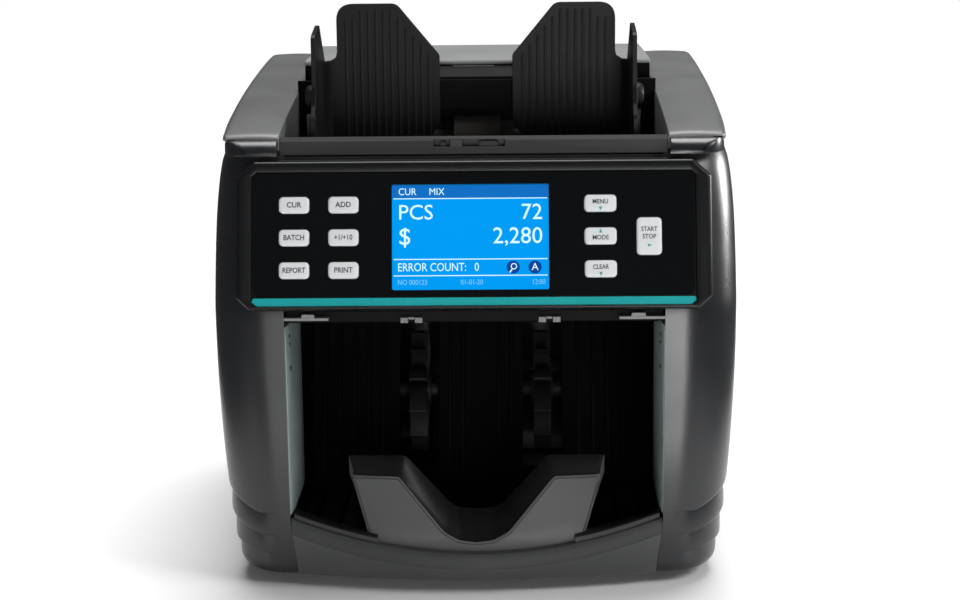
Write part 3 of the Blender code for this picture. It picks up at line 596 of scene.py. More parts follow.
def upper_cheek(tag, side):
    """Light cap: almost flat top, rounded outer shoulder, crisp inner edge and hopper wall."""
    stations = [-88.4, -88.0, -87.2, -86.0, -84.0, -81, -76, -70, -62, -52, -40, -26, -10, 8, 26, 44, 62, 80,
                94, 104, 109, 112, BODY_REAR]
    rings = []
    for y in stations:
        zt = smooth_curve(CAP_FRONT, y) if y < -76 else smooth_curve(CHEEK_TOP, y)
        zs = cap_low(y)
        xo = smooth_curve(CAP_OUT, y)
        low = smooth_curve(((-96, 210.2), (-86, 210.0), (-80, 199.0), (-20, 193.2), (114, 193.2)), y)
        low = max(low, 193.2)
        inner = cap_inner(y)
        r = max(0.25, min(4.2, (zt - zs) * 0.7))
        ring = [(xo, zs)]
        for k in range(7):
            a = math.radians(90 * k / 6)
            ring.append((xo - 0.15 - r * (1 - math.cos(a)), zt - 0.35 - r * (1 - math.sin(a))))
        span = (xo - 0.15 - r) - (inner + 0.9)
        for k in range(1, 6):
            t = k / 6
            ring.append((xo - 0.15 - r - span * t, zt - 0.35 + 0.45 * math.sin(math.pi * t)))
        ring += [(inner + 0.9, zt - 0.35), (inner + 0.3, zt - 0.5), (inner, zt - 0.9), (inner, low),
                 (inner + WALL, low), (inner + WALL, max(low + 0.2, zt - 3.6)), (xo - 6.6, zt - 3.8),
                 (xo - 4.4, min(zs + 0.2, zt - 0.6)), (xo - 3.2, zs)]
        rings.append([(side * x, y, z) for x, z in ring])
    make("upper_cheek_%s_cap" % tag, skin(rings), "shell_light", replaces="upper_cheek_" + tag,
         angle=38)

    rings = []
    for y in (-96, -95.8, -95.5, -95, -94.2, -93, -91.4, -90, -88.8, -86, -82, -76, -70, -64, -56, -48, -41,
              -36):
        zt = smooth_curve(NOSE_TOP, y) if y < -88.8 else cap_low(y) - 0.35
        zb = seam_z(max(y, -95)) - 0.3
        zt = max(zt, zb + 0.5)
        xo = smooth_curve(NOSE_OUT, y)
        edge = min(1.4, (zt - zb) * 0.4)
        ring = [(93.2, zb), (xo - 0.5, zb), (xo - 0.1, zb + 0.2), (xo, zb + edge * 0.6), (xo - 0.1, zt - edge),
                (xo - 0.5, zt - edge * 0.3), (xo - 1.6, zt), (110.0, zt), (100.0, zt), (93.6, zt),
                (93.2, zt - 0.4)]
        rings.append([(side * x, y, z) for x, z in ring])
    make("upper_cheek_%s_nose" % tag, skin(rings), "shell_dark", angle=34)


def base_front():
    """Curved front of the base: bright band under the dipping lip, crease, darker undercut."""
    n = 72
    rings = []
    for i in range(n + 1):
        s = -1 + 2 * i / n
        bow = 10.5 * s * s
        rim = RIM_MID + LIP_DROP * s * s
        ridge = rim - 7.0
        inner_y = -116.0 + 10.0 * s * s
        toe_y, toe_z = -120.6 + bow, BASE_Z + 0.9
        section = [(-119.8 + bow, BASE_Z + 0.2), (toe_y, toe_z)]
        for k in range(1, 7):
            t = k / 7
            section.append((toe_y + (FRONT_MID + 120.6) * t ** 1.15, toe_z + (ridge - toe_z) * t))
        section += [(FRONT_MID + bow + 0.05, ridge - 0.3), (FRONT_MID + bow + 0.02, ridge),
                    (FRONT_MID + bow + 0.25, ridge + 0.35)]
        for k in range(1, 5):
            t = k / 5
            section.append((FRONT_MID + bow + 0.25 + 2.75 * t, ridge + 0.35 + 5.9 * t))
        section += [(-120.7 + bow, rim - 0.5), (-120.3 + bow, rim - 0.1), (-119.6 + bow, rim),
                    (inner_y - 0.5, rim), (inner_y - 0.1, rim - 0.2), (inner_y, rim - 0.8), (inner_y, 11.0),
                    (-96.0, 11.0), (-96.0, BASE_Z)]
        rings.append([(s * (pocket_edge(min(z, RIM_END)) - 0.1), y, z) for y, z in section])
    make("base_front_lip", skin(rings), "base_grey", replaces="base_front", angle=24)


def lip_band():
    """Black tray edge that stands behind the lip, each side of the note stop."""
    for tag, lo, hi in (("left", -0.985, -0.53), ("right", 0.53, 0.985)):
        rings = []
        n = 30
        for i in range(n + 1):
            s = lo + (hi - lo) * i / n
            rim = RIM_MID + LIP_DROP * s * s
            y = -118.9 + 10.4 * s * s
            section = ((0.0, rim + 0.1), (0.0, rim + 2.6), (0.4, rim + 3.1), (1.2, rim + 3.4), (7.0, rim + 3.2),
                       (8.6, rim + 2.8), (9.0, 12.2), (4.2, 12.2), (4.2, rim + 0.1))
            rings.append([(s * POCKET_HALF, y + back, z) for back, z in section])
        make("pocket_tray_edge_" + tag, skin(rings), "tray_black", angle=30)


def chamfered(half, v0, v1, top, bottom, r):
    """Rectangle with cut and softened corners, counter-clockwise from the lower right."""
    right = [(half - bottom, v0), (half, v0 + bottom * 0.95), (half, v1 - top * 0.9), (half - top, v1)]
    return round_corners(right + [(-u, v) for u, v in right[::-1]], r, 3)


def front_bezel():
    """Frame round the key panel: soft outer bevel, thin lower lip, stepped recess for the glass."""
    rings = []
    for d, w in ((0.0, -9.0), (0.0, -1.3), (0.25, -0.6), (0.7, 0.1), (1.3, 0.52), (2.0, 0.74), (2.7, 0.8)):
        ring = chamfered(111.8 - d, -33.9 + 0.3 * d, 36.3 - 0.8 * d, 8.5 - 0.5 * d, 6.4 - 0.62 * d, 2.2)
        rings.append([panel_point(u, v, w) for u, v in ring])
    for grow, w in ((0.35, 0.8), (0.08, 0.66), (0.0, 0.4), (0.0, -1.9)):
        ring = chamfered(104.2 + grow, -32.4 - 0.4 * grow, 30.9 + grow, 2.2, 2.2, 0.8)
        rings.append([panel_point(u, v, w) for u, v in ring])
    for w in (-1.9, -9.0):
        ring = chamfered(98.0, -26.8, 28.2, 2.0, 2.0, 0.8)
        rings.append([panel_point(u, v, w) for u, v in ring])
    make("front_bezel_frame", hoop(rings), "bezel", replaces="front_bezel", angle=28)
    ledge = [(-93.0, 204.8), (-93.0, 206.6), (-91.2, 207.0), (-90.6, 208.3), (-84.6, 208.3), (-84.6, 206.8),
             (-90.0, 205.6), (-91.0, 204.8)]
    make("hopper_front_ledge", prism("x", ledge, -92.4, 92.4), "bezel", angle=30)


def key_cap(name, u, v, w, h):
    """Key with a softly rounded top edge; the stem goes back through the panel."""
    rings = []
    for inset, level, r in ((0.0, -5.5, 2.0), (0.0, 0.25, 2.0), (0.12, 0.55, 1.95), (0.38, 0.82, 1.8),
                            (0.75, 0.95, 1.6), (1.2, 1.0, 1.3)):
        outline = rounded_rect(u, v, w - 2 * inset, h - 2 * inset, r)
        rings.append([panel_point(a, b, level) for a, b in outline])
    make(name + "_cap", skin(rings), "key", name, replaces=name, angle=60)


LEGENDS = {
    "key_currency": (("CUR", 0.0, 0.0, 2.5, 0.95),),
    "key_add": (("ADD", 0.0, 0.0, 2.5, 0.95),),
    "key_batch": (("BATCH", 0.0, 0.0, 2.5, 0.86),),
    "key_step": (("+1/+10", 0.0, 0.0, 2.4, 0.86),),
    "key_report": (("REPORT", 0.0, 0.0, 2.5, 0.84),),
    "key_print": (("PRINT", 0.0, 0.0, 2.5, 0.90),),
    "key_menu": (("MENU", 0.0, 0.7, 2.1, 0.90),),
    "key_mode": (("MODE", 0.0, -0.8, 2.1, 0.90),),
    "key_clear": (("CLEAR", 0.0, 0.8, 2.1, 0.84),),
    "key_start": (("START", 0.0, 3.2, 2.15, 0.84), ("STOP", 0.0, -0.3, 2.15, 0.88)),
}
ARROWS = {"key_menu": (0.0, -2.3, -90.0), "key_mode": (0.0, 2.2, 90.0), "key_clear": (0.0, -2.2, -90.0),
          "key_start": (0.0, -4.3, 0.0)}


def keys_with_legends():
    """Ten keys with their words and arrows."""
    for name, u, v, w, h in KEYS:
        key_cap(name, u, v, w, h)
        for i, (word, du, dv, size, squeeze) in enumerate(LEGENDS[name]):
            text("%s_legend_%d" % (name, i + 1), word, u + du, v + dv, size, "ink", name,
                 w=1.03, squeeze=squeeze, bold=0.014)
        if name in ARROWS:
            du, dv, turn = ARROWS[name]
            a = math.radians(turn)
            tri = []
            for r, t in ((1.3, 0.0), (1.05, 2.3), (1.05, -2.3)):
                tri.append((u + du + r * math.cos(a + t), v + dv + r * math.sin(a + t)))
            make(name + "_arrow", prism("w", tri, 1.0, 1.06), "ink_teal", name)


def lcd_rect(name, u0, u1, v0, v1, mat):
    make(name, prism("w", [(u0, v0), (u1, v0), (u1, v1), (u0, v1)], -0.39, -0.36), mat)


def lcd_words():
    """Generic figures and words of a count, in light characters on the blue field."""
    lcd_rect("lcd_status_bar", -38.0, 35.2, 18.4, 24.45, "lcd_bar")
    for i, v in enumerate((18.2, -10.4, -18.1)):
        lcd_rect("lcd_rule_%d" % (i + 1), -37.4, 34.6, v - 0.22, v + 0.22, "lcd_ink")
    words = (("CUR", -35.2, 21.3, 3.3, 0.9, "LEFT"), ("MIX", -20.8, 21.3, 3.3, 0.9, "LEFT"),
             ("PCS", -35.4, 11.4, 7.0, 1.0, "LEFT"), ("72", 32.6, 11.4, 7.4, 0.98, "RIGHT"),
             ("$", -35.2, 0.0, 8.0, 0.98, "LEFT"), ("2,280", 32.6, 0.2, 7.6, 0.98, "RIGHT"),
             ("ERROR COUNT:   0", -35.6, -14.3, 3.9, 0.80, "LEFT"),
             ("NO 000123", -35.6, -21.3, 2.4, 0.84, "LEFT"), ("01-01-20", -6.0, -21.3, 2.4, 0.84, "LEFT"),
             ("12:00", 33.6, -21.3, 2.4, 0.84, "RIGHT"))
    for i, (word, u, v, size, squeeze, align) in enumerate(words):
        text("lcd_text_%02d" % (i + 1), word, u, v, size, "lcd_dim" if v < -20 else "lcd_ink",
             w=-0.33, align=align, squeeze=squeeze)
    for i, u in enumerate((18.6, 28.8)):
        disc = prism("w", circle(u, -14.3, 3.1, 28), -0.39, -0.35)
        make("lcd_icon_%d" % (i + 1), disc, "lcd_icon")
    text("lcd_icon_letter", "A", 28.8, -14.3, 3.4, "lcd_ink", w=-0.32)
    rims = [[panel_point(u, v, -0.32) for u, v in circle(18.9, -13.9, r, 20)] for r in (1.5, 1.05)]
    handle = prism("w", [(16.7, -16.6), (17.2, -17.0), (18.3, -15.5), (17.8, -15.1)], -0.34, -0.31)
    make("lcd_icon_lens", merge([skin(rims, cap=False), handle]), "lcd_ink")


def rack_outline(side, y_rack, n_teeth=36):
    """Plan view of a guide's rack: a straight back and a toothed edge that faces the pinion."""
    toward = 1 if side < 0 else -1
    back, root, tip = y_rack - toward * 1.9, y_rack + toward * 1.1, y_rack + toward * 1.9
    x_lo, x_hi = sorted((side * 80.0, -side * 10.0))
    pitch = (x_hi - x_lo) / n_teeth
    outline = [(x_lo, back), (x_hi, back)]
    for k in range(n_teeth, 0, -1):
        x = x_lo + pitch * k
        outline += [(x, root), (x - 0.3 * pitch, tip), (x - 0.55 * pitch, tip), (x - 0.85 * pitch, root)]
    return outline


def note_guide(tag, side):
    """Side plate, ribbed back plate, corner web, finger ear and toothed rack."""
    body = "note_guide_" + tag
    back = [(77.4, 196.5), (77.4, 246.6), (74.6, 246.8), (71.8, 248.6), (71.2, 251.5), (71.2, 275.6),
            (40.5, 275.6), (18.6, 249.2), (18.6, 214.0), (26.0, 205.0), (26.0, 196.5)]
    back = round_corners(back, (0.6, 0.5, 1.0, 1.2, 1.0, 8.5, 6.0, 3.6, 3.0, 2.0, 1.0), 8)
    plate = [(-72.0, 213.0), (-72.0, 224.0), (-65.5, 230.0), (-62.0, 238.0), (-61.0, 262.2), (-57.6, 263.6),
             (-38.0, 267.0), (-33.8, 263.0), (-14.5, 247.0), (-9.0, 246.4), (-9.0, 194.9), (-16.0, 194.9)]
    plate = round_corners(plate, (1.2, 3.0, 4.0, 6.0, 2.2, 3.0, 2.6, 3.0, 3.0, 0.5, 0.5, 0.8), 5)
    web = [(74.0, -8.4), (78.6, -8.4), (78.6, -14.0), (77.4, -14.0), (76.4, -12.0), (75.2, -10.8),
           (74.0, -10.2)]
    y_rack = -68.0 if side < 0 else -56.0
    bracket = sorted((side * 76.9, side * 81.2))
    parts = [prism("y", [(side * x, z) for x, z in back], -10.2, -7.4),
             prism("x", plate, side * 77.0, side * 79.2),
             prism("z", [(side * x, y) for x, y in web], 198.0, 246.3),
             slab((bracket[0], y_rack - 2.0, 190.5), (bracket[1], y_rack + 2.0, 226.0)),
             prism("z", rack_outline(side, y_rack), 190.0, 194.0)]
    make(body + "_moulding", merge(parts), "guide", body, replaces=body, angle=32,
         bevel=(0.45, 2, 40))

    flutes = []
    for k in range(12):
        x = 24.0 + 3.85 * k
        top = min(272.6, 249.2 + (x - 18.6) * 1.205 - 5.5) if x <= 62 else 268.5
        rings = []
        for z, out in ((208.0, 0.0), (209.6, 0.32), (top - 1.6, 0.32), (top, 0.0)):
            shoulder = -10.2 - out * 0.85
            rings.append([(side * (x - 0.95), -10.15, z), (side * (x - 0.5225), shoulder, z),
                          (side * x, -10.2 - out, z), (side * (x + 0.5225), shoulder, z),
                          (side * (x + 0.95), -10.15, z)])
        flutes.append(skin(rings))
    make(body + "_ribs", merge(flutes), "guide", body, angle=50)

    rings = []
    for x, grow in ((79.0, 1.0), (81.2, 0.98), (82.3, 0.86), (82.9, 0.6), (83.1, 0.3)):
        rings.append([(side * x, -54.0 + 6.5 * grow * c, 233.5 + 5.4 * grow * s)
                      for c, s in circle(0, 0, 1.0, 24)])
    make(body + "_ear", skin(rings), "guide", body, angle=50)


STOP_HALF = 60.0
STOP_EDGE = ((0.0, 1.1), (0.35, 0.3), (0.9, 0.0), (1.15, 0.55), (1.5, 0.55), (1.75, 0.0))
STOP_FACE_POINTS = 2 * len(STOP_EDGE) + 5


def stop_outline(points, radii):
    """Top edge of the note stop from its middle outwards, completed to the left and rounded."""
    mirrored = [(-x, z) for x, z in points[:0:-1]] + points
    return round_corners(mirrored, radii[:0:-1] + radii, 8)


def stop_foot(x, half, slope):
    """Lower edge: flat in the middle, rising outside half."""
    return 11.4 + max(0.0, abs(x) - half) * slope


def stop_inset(edge, x, d, sign):
    """Height at x of an edge moved d millimetres into the face."""
    heights = []
    for k in range(-6, 7):
        s = d * k / 6
        heights.append(edge(x + s) - sign * math.sqrt(max(0.0, d * d - s * s)))
    return min(heights) if sign > 0 else max(heights)


def note_stop():
    """Thick upright with a wide V: face plate with a fine groove round it, broad bevels to a larger rear."""
    front_top = stop_outline([(0.0, 24.0), (8.0, 25.0), (15.5, 29.0), (37.5, 54.0), (70, 54.0)],
                             (8.0, 6.0, 9.0, 3.0, 0))
    rear_top = stop_outline([(0.0, 34.8), (9.0, 35.6), (13.0, 38.0), (34.7, 62.0), (75, 62.0)],
                            (8.0, 6.0, 6.0, 4.0, 0))

    def face_low(x):
        return stop_foot(x, 47.8, 3.15) if abs(x) < STOP_HALF - 0.01 else 50.0

    def face_band(x, d):
        return stop_inset(face_low, x, d, -1), stop_inset(lambda at: straight(front_top, at), x, d, 1)

    stations = []
    spans = (((0.0, 0.0), 5), ((8.0, 9.0), 6), ((15.5, 13.0), 14), ((37.5, 34.7), 14), ((56.0, 57.5), 8),
             ((STOP_HALF, 62.5), 1))
    for ((f0, r0), n), ((f1, r1), _) in zip(spans, spans[1:]):
        stations += [(f0 + (f1 - f0) * k / n, r0 + (r1 - r0) * k / n) for k in range(n)]
    stations.append(spans[-1][0])
    stations = [(-a, -b) for a, b in stations[:0:-1]] + stations

    rings = []
    for xf, xr in stations:
        side_fade = min(1.0, (STOP_HALF - abs(xf)) / 1.6)
        sunk = (1 - side_fade) * 0.9
        edge = [(d, dy * (1.0 if d < 0.9 else side_fade) + sunk) for d, dy in STOP_EDGE]
        lo, hi = face_band(xf, 1.75)
        lo = min(lo, hi)
        face = [(min(face_band(xf, d)), dy) for d, dy in edge]
        face += [(lo + (hi - lo) * k / 8, sunk) for k in range(1, 8)]
        face += [(max(face_band(xf, d)), dy) for d, dy in edge[::-1]]
        ring = []
        for z, dy in face:
            lean = max(0.0, z - 26.0) * 9.0 / 28.0
            ring.append((xf, -115.4 + lean + 10.0 * (xf / 88.0) ** 2 + dy, z))
        yf, zf = ring[-1][1:]
        y_rear, zr = -95.4 + 0.6 * abs(xr) / 60.0, straight(rear_top, xr)
        for k in range(1, 7):
            t = k / 7
            bulge = 0.9 * math.sin(math.pi * t)
            ring.append((xf + (xr - xf) * t, yf + (y_rear - 1.4 - yf) * t, zf + (zr - zf) * t + bulge))
        z_low = min(stop_foot(xr, 49.6, 3.2), zr - 2.0)
        ring += [(xr, y_rear - 1.4, zr), (xr, y_rear - 0.4, zr - 0.4), (xr, y_rear, zr - 1.4),
                 (xr, y_rear, (zr + z_low) / 2), (xr, y_rear, z_low)]
        rings.append(ring)
    obj = make("note_stop_moulding", skin(rings), "stop_face", replaces="note_stop", angle=30)
    obj.data.materials.append(M["stop_dark"])
    for poly in obj.data.polygons:
        first = min(v % len(rings[0]) for v in poly.vertices)
        if first >= STOP_FACE_POINTS and len(poly.vertices) == 4:
            poly.material_index = 1


def top_cover():
    """Light lid behind the hopper, its dark front face and the two pale strips on it."""
    profile = [(19.5, 241.9), (19.2, 243.1), (20.0, 244.1), (22.0, 244.5), (60.0, 245.3), (100.0, 245.6),
               (107.0, 245.2), (110.0, 244.4), (112.0, 242.9), (113.2, 241.6), (113.6, 240.8),
               (113.6, 239.0), (109.0, 240.6), (100.0, 242.4), (60.0, 242.3), (27.0, 241.5), (21.0, 241.5)]
    rings = []
    for side in (-1, 1):
        rings.append([(side * (cap_inner(y) - 0.6), y, z) for y, z in profile])
    make("top_cover_lid", skin(rings), "lid", "top_cover", replaces="top_cover", angle=26,
         bevel=(0.35, 2, 50))
    face = [(19.4, 231.5), (19.0, 237.0), (19.6, 241.7), (22.6, 241.4), (23.2, 239.5), (22.2, 236.5),
            (22.4, 231.5)]
    # painted shade: the front face takes the near-black that is darkened as shade
    make("top_cover_face", prism("x", face, -91.0, 91.0), "black_painted_shade", "top_cover", angle=30)
    for i, (x0, x1, z0, z1) in enumerate(((-12.8, 9.0, 240.2, 241.2), (-21.3, 14.0, 236.6, 237.7))):
        bar = round_corners([(x0, z0), (x1, z0), (x1, z1), (x0, z1)], 0.3, 3)
        make("top_cover_strip_%d" % (i + 1), prism("y", bar, 18.3, 19.3), "white", "top_cover",
             angle=40)


def hopper_lip_details():
    """Bridge and catch in the slot of the hopper's lip."""
    bridge = prism("x", [(-89.1, 212.6), (-88.6, 215.8), (-84.8, 215.9), (-84.8, 212.7)], -11.0, -5.4)
    make("hopper_lip_bridge", bridge, "lip_grey", angle=30)
    parts = [prism("x", [(-87.2, 212.7), (-86.8, 214.6), (-84.8, 214.8), (-84.8, 212.7)], -15.6, -13.2),
             prism("x", [(-87.6, 212.7), (-87.2, 214.3), (-84.8, 214.6), (-84.8, 212.7)], 2.6, 11.8),
             turned("x", (-86.6, 214.4), [(3.4, 0.7), (11.0, 0.7)], 14)]
    make("hopper_lip_catch", merge(parts), "lip_grey", angle=30)


def hopper_ribs():
    """Ribs down the sloping hopper floor and up the hopper's back."""
    def floor_rib(x, y):
        z = 212.5 - (y + 75.0) * 19.0 / 60.0
        crest = z + 0.05 + (0.0 if y in (-73.0, -17.0) else 0.9)
        return [(x - 0.8, y, z - 0.3), (x + 0.8, y, z - 0.3), (x + 0.5, y, crest), (x - 0.5, y, crest)]

    def back_rib(x, z, grow):
        foot, crest = math.copysign(0.7, x), math.copysign(0.4, x)
        return [(x - foot, -4.55, z), (x - crest, -4.6 - grow, z), (x + crest, -4.6 - grow, z),
                (x + foot, -4.55, z)]

    # painted shade: both sets of hopper ribs take the near-black that is darkened as shade
    floor = ribs((-52, -44, -12, -4, 4, 12, 44, 52), floor_rib,
                 ((-73.0,), (-71.5,), (-40.0,), (-18.5,), (-17.0,)))
    make("hopper_floor_ribs", floor, "black_painted_shade", angle=40)
    back = ribs([side * x for side in (-1, 1) for x in (30.0, 38.0, 46.0, 54.0, 62.0)], back_rib,
                ((199.0, 0.0), (200.0, 0.8), (233.6, 0.8), (234.8, 0.0)))
    make("hopper_back_ribs", back, "black_painted_shade", angle=40)


def pocket_trims():
    """Trim strips and catches under the panel, wall trims and the sensor lenses in them."""
    trims = []
    for x0, x1, t0, t1 in ((-90.2, -69.0, -82.0, -75.5), (68.6, 90.2, 74.0, 81.2)):
        trims.append(slab((x0, -112.4, 133.2), (x1, -108.2, 134.4)))
        tab = round_corners([(t0, 134.3), (t1, 134.3), (t1 - 0.5, 136.1), (t0 + 0.5, 136.1)], 0.3, 3)
        trims.append(prism("y", tab, -112.2, -110.2))
    make("pocket_corner_trims", merge(trims), "trim_grey", angle=30)
    blocks = []
    for x0 in (-35.0, 30.4):
        blocks.append(slab((x0, -110.4, 131.4), (x0 + 3.6, -107.4, 134.1)))
        blocks.append(slab((x0 + 6.8, -110.4, 131.4), (x0 + 10.4, -107.4, 134.1)))
        blocks.append(slab((x0 + 3.6, -109.6, 132.9), (x0 + 6.8, -107.4, 134.1)))
    make("pocket_header_catches", merge(blocks), "trim_grey", angle=30, bevel=(0.25, 2, 40))
    strips = []
    for side in (-1, 1):
        rings = []
        for z, tuck in ((35.5, 0.0), (37.0, 0.5), (60.0, 0.9), (126.0, 0.9), (129.6, 0.6)):
            plan = ((90.9, -111.0), (90.7 - tuck, -110.6), (89.9 - tuck, -106.5), (89.3 - tuck, -98.0),
                    (89.3 - tuck, -70.0), (89.6 - 0.6 * tuck, -54.0), (91.1, -50.0), (91.15, -110.0))
            rings.append([(side * x, y, z) for x, y in plan])
        strips.append(skin(rings))
    make("pocket_wall_trims", merge(strips), "pocket", angle=40)
    lens = []
    for side in (-1, 1):
        for y, z, r in ((-104.5, 124.0, 1.1), (-104.0, 120.0, 0.8), (-103.5, 108.0, 1.4)):
            profile = [(side * 89.6, r), (side * 88.8, r), (side * 88.4, r * 0.7)]
            lens.append(turned("x", (y, z), profile, 16))
    make("pocket_wall_lenses", merge(lens), "lens", angle=50)


def pocket_ribs():
    """Ribs up the pocket's sloping back and along its floor."""
    def back_rib(x, t, grow):
        y, z = 8.0 + 54.0 * t, 11.4 + 110.6 * t
        crest_y, crest_z = y - 0.8986 * 1.3 * grow, z + 0.4388 * 1.3 * grow
        return [(x - 1.2, y + 0.2, z), (x - 0.8, crest_y, crest_z), (x + 0.8, crest_y, crest_z),
                (x + 1.2, y + 0.2, z)]

    def floor_rib(x, y, grow):
        crest = 10.2 + 1.6 * grow
        return [(x - 1.1, y, 9.9), (x + 1.1, y, 9.9), (x + 0.7, y, crest), (x - 0.7, y, crest)]

    # painted shade: the pocket's ribs take the near-black that is darkened as shade
    back = ribs((-86, -78, -70, -62, -54, -17, -10, 10, 17, 54, 62, 70, 78, 86), back_rib,
                ((0.03, 0.0), (0.05, 1.0), (0.55, 1.6), (0.93, 1.6), (0.97, 0.0)))
    make("pocket_back_ribs", back, "black_painted_shade", angle=40)
    floor = ribs(range(-84, 85, 12), floor_rib, ((-93.0, 0.0), (-90.0, 1.0), (0.0, 1.0), (6.0, 0.2)))
    make("pocket_floor_ribs", floor, "black_painted_shade", angle=40)


def stacker():
    """Shaft, pulley, hubs and swept rubber fingers."""
    centre = (44.0, 58.0)
    profile = [(-111.0, 3.4), (-110.4, 4.0), (-108.0, 4.0), (-108.0, 20.0), (-105.6, 20.0), (-105.6, 4.0),
               (-40.0, 4.0), (-40.0, 8.6), (-39.4, 9.0), (-28.6, 9.0), (-28.0, 8.6), (-28.0, 4.0),
               (28.0, 4.0), (28.0, 8.6), (28.6, 9.0), (39.4, 9.0), (40.0, 8.6), (40.0, 4.0), (96.4, 4.0),
               (97.0, 3.4)]
    parts = [turned("x", centre, profile, 32)]
    for side in (-1, 1):
        for k in range(12):
            a0 = 2 * math.pi * k / 12
            left, right = [], []
            for i in range(11):
                t = i / 10
                r = 8.4 + 25.3 * t
                a = a0 + 0.62 * t ** 1.5
                half = (1.1 - 0.45 * t) / r
                left.append((centre[0] + r * math.cos(a - half), centre[1] + r * math.sin(a - half)))
                right.append((centre[0] + r * math.cos(a + half), centre[1] + r * math.sin(a + half)))
            outline = left + right[::-1]
            lo, hi = sorted((side * 29.4, side * 38.6))
            parts.append(prism("x", outline, lo, hi))
    # the fingers' rubber is darkened as painted shade of the pocket
    make("stacker_fingers", merge(parts), "finger", "stacker", replaces="stacker_wheels", angle=40)


def screw(axis, centre, at, r):
    """Pan-head screw with a socket, facing the positive end of the axis."""
    profile = [(at, r), (at + 0.5, r), (at + 0.9, r * 0.86), (at + 1.1, r * 0.55), (at + 0.5, r * 0.46),
               (at + 0.45, 0.02)]
    return turned(axis, centre, profile, 24)


def rear_cover_details():
    """Dark ribbed sheet behind the vents and a closing sheet behind the sockets, both standing in for the shade
    inside the box, and the cover's screws.
    """
    # painted shade: dark sheets put where the closed box would only hold shade
    mesh = [slab((18.0, 111.4, 62.0), (88.0, 112.2, 128.0))]
    for k in range(24):
        x = 19.0 + 2.95 * k
        mesh.append(slab((x, 112.1, 62.6), (x + 0.6, 112.6, 127.4)))
    mesh.append(slab((-94.0, 108.6, 12.0), (-33.0, 109.4, 60.0)))
    make("vent_shade_liner", merge(mesh), "inner", angle=30)
    places = ((-104, 20), (104, 20), (-104, 110), (104, 110), (-100, 196), (100, 196), (0, 18), (-24, 190))
    heads = [screw("y", place, REAR_FACE, 3.2) for place in places]
    make("rear_cover_screws", merge(heads), "dark_steel")


def power_details():
    """Inlet blades and flange, on and off marks of the rocker."""
    places = ((-75.0, 36.8), (-80.6, 31.0), (-69.4, 31.0))
    pins = [slab((x, 112.0, z), (x + 2.0, 117.6, z + 3.8)) for x, z in places]
    make("inlet_blades", merge(pins), "steel", angle=30, bevel=(0.2, 1, 40))
    outer = round_corners([(-89.6, 23.6), (-58.4, 23.6), (-58.4, 46.4), (-89.6, 46.4)], 2.5, 4)
    inner = round_corners([(-87.8, 25.2), (-60.2, 25.2), (-60.2, 44.8), (-87.8, 44.8)], 1.2, 4)
    rings = [[(x, y, z) for x, z in ring] for ring, y in ((outer, 117.5), (outer, 118.4), (inner, 118.9),
                                                          (inner, 117.5))]
    make("inlet_flange", hoop(rings), "inner")
    make("rocker_mark_on", slab((-42.6, 119.3, 30.0), (-41.4, 119.7, 32.8)), "white", "rocker",
         angle=30)
    rings = [[(x, y, z) for x, z in circle(-42.0, 38.6, r, 24)]
             for r, y in ((1.6, 119.35), (1.6, 119.7), (1.15, 119.7), (1.15, 119.35))]
    make("rocker_mark_off", hoop(rings), "white", "rocker", angle=40)


def data_sockets():
    """Metal shells and black tongues of the four sockets."""
    shells, tongues = [], []
    middle = 35.0
    for x, w, h in ((38, 8.6, 8.6), (52, 11.6, 5.6), (68, 8.6, 11.6), (81, 5.6, 5.6)):
        rings = []
        for grow, y in ((0.0, 110.6), (0.0, 116.6), (-0.5, 116.6), (-0.5, 111.6)):
            rings.append([(a, y, b) for a, b in rounded_rect(x, middle, w + 2 * grow, h + 2 * grow, 0.8, 3)])
        shells.append(skin(rings))
        tongues.append(slab((x - w * 0.30, 111.6, middle + 0.2), (x + w * 0.30, 115.6, middle + h * 0.22)))
    make("data_socket_shells", merge(shells), "steel")
    make("data_socket_tongues", merge(tongues), "chip")


def plate_and_scale():
    """Blank plate, scale round the gap knob with minus and plus signs, pointer on the knob."""
    plate = round_corners([(-84.0, 140.0), (-36.0, 140.0), (-36.0, 168.0), (-84.0, 168.0)], 2.0, 4)
    make("rear_blank_plate", prism("y", plate, REAR_FACE, REAR_FACE + 0.4), "plate")
    marks = []
    inside, outside, half, knob_z = 13.4, 15.6, 0.35, 214
    for k in range(-4, 5):
        a = math.radians(90 + 30 * k)
        c, s = math.cos(a), math.sin(a)
        tick = [(r * c - w * s, knob_z + r * s + w * c)
                for r, w in ((inside, half), (outside, half), (outside, -half), (inside, -half))]
        marks.append(prism("y", tick, REAR_FACE, REAR_FACE + 0.4))
    signs = ((-17.4, -14.2, 201.6, 202.4), (14.2, 17.4, 201.6, 202.4), (15.4, 16.2, 200.4, 203.6))
    for x0, x1, z0, z1 in signs:
        marks.append(slab((x0, REAR_FACE, z0), (x1, REAR_FACE + 0.4, z1)))
    make("knob_scale", merge(marks), "white", angle=30)
    make("knob_pointer", slab((-0.5, 122.6, 217.0), (0.5, 124.0, 223.0)), "white", "knob", angle=30)


def feet():
    """Four rubber feet with a hollow for the screw."""
    profile = [(5.7, 8.2), (5.2, 8.8), (1.2, 9.0), (0.4, 8.6), (0.0, 7.6), (0.0, 4.2), (1.6, 3.8), (1.8, 0.02)]
    for tag, x, y in (("front_left", -95, -78), ("front_right", 95, -78), ("rear_left", -95, 96),
                      ("rear_right", 95, 96)):
        make("foot_%s_pad" % tag, turned("z", (x, y), profile, 40), "rubber", replaces="foot_" + tag,
             angle=40)


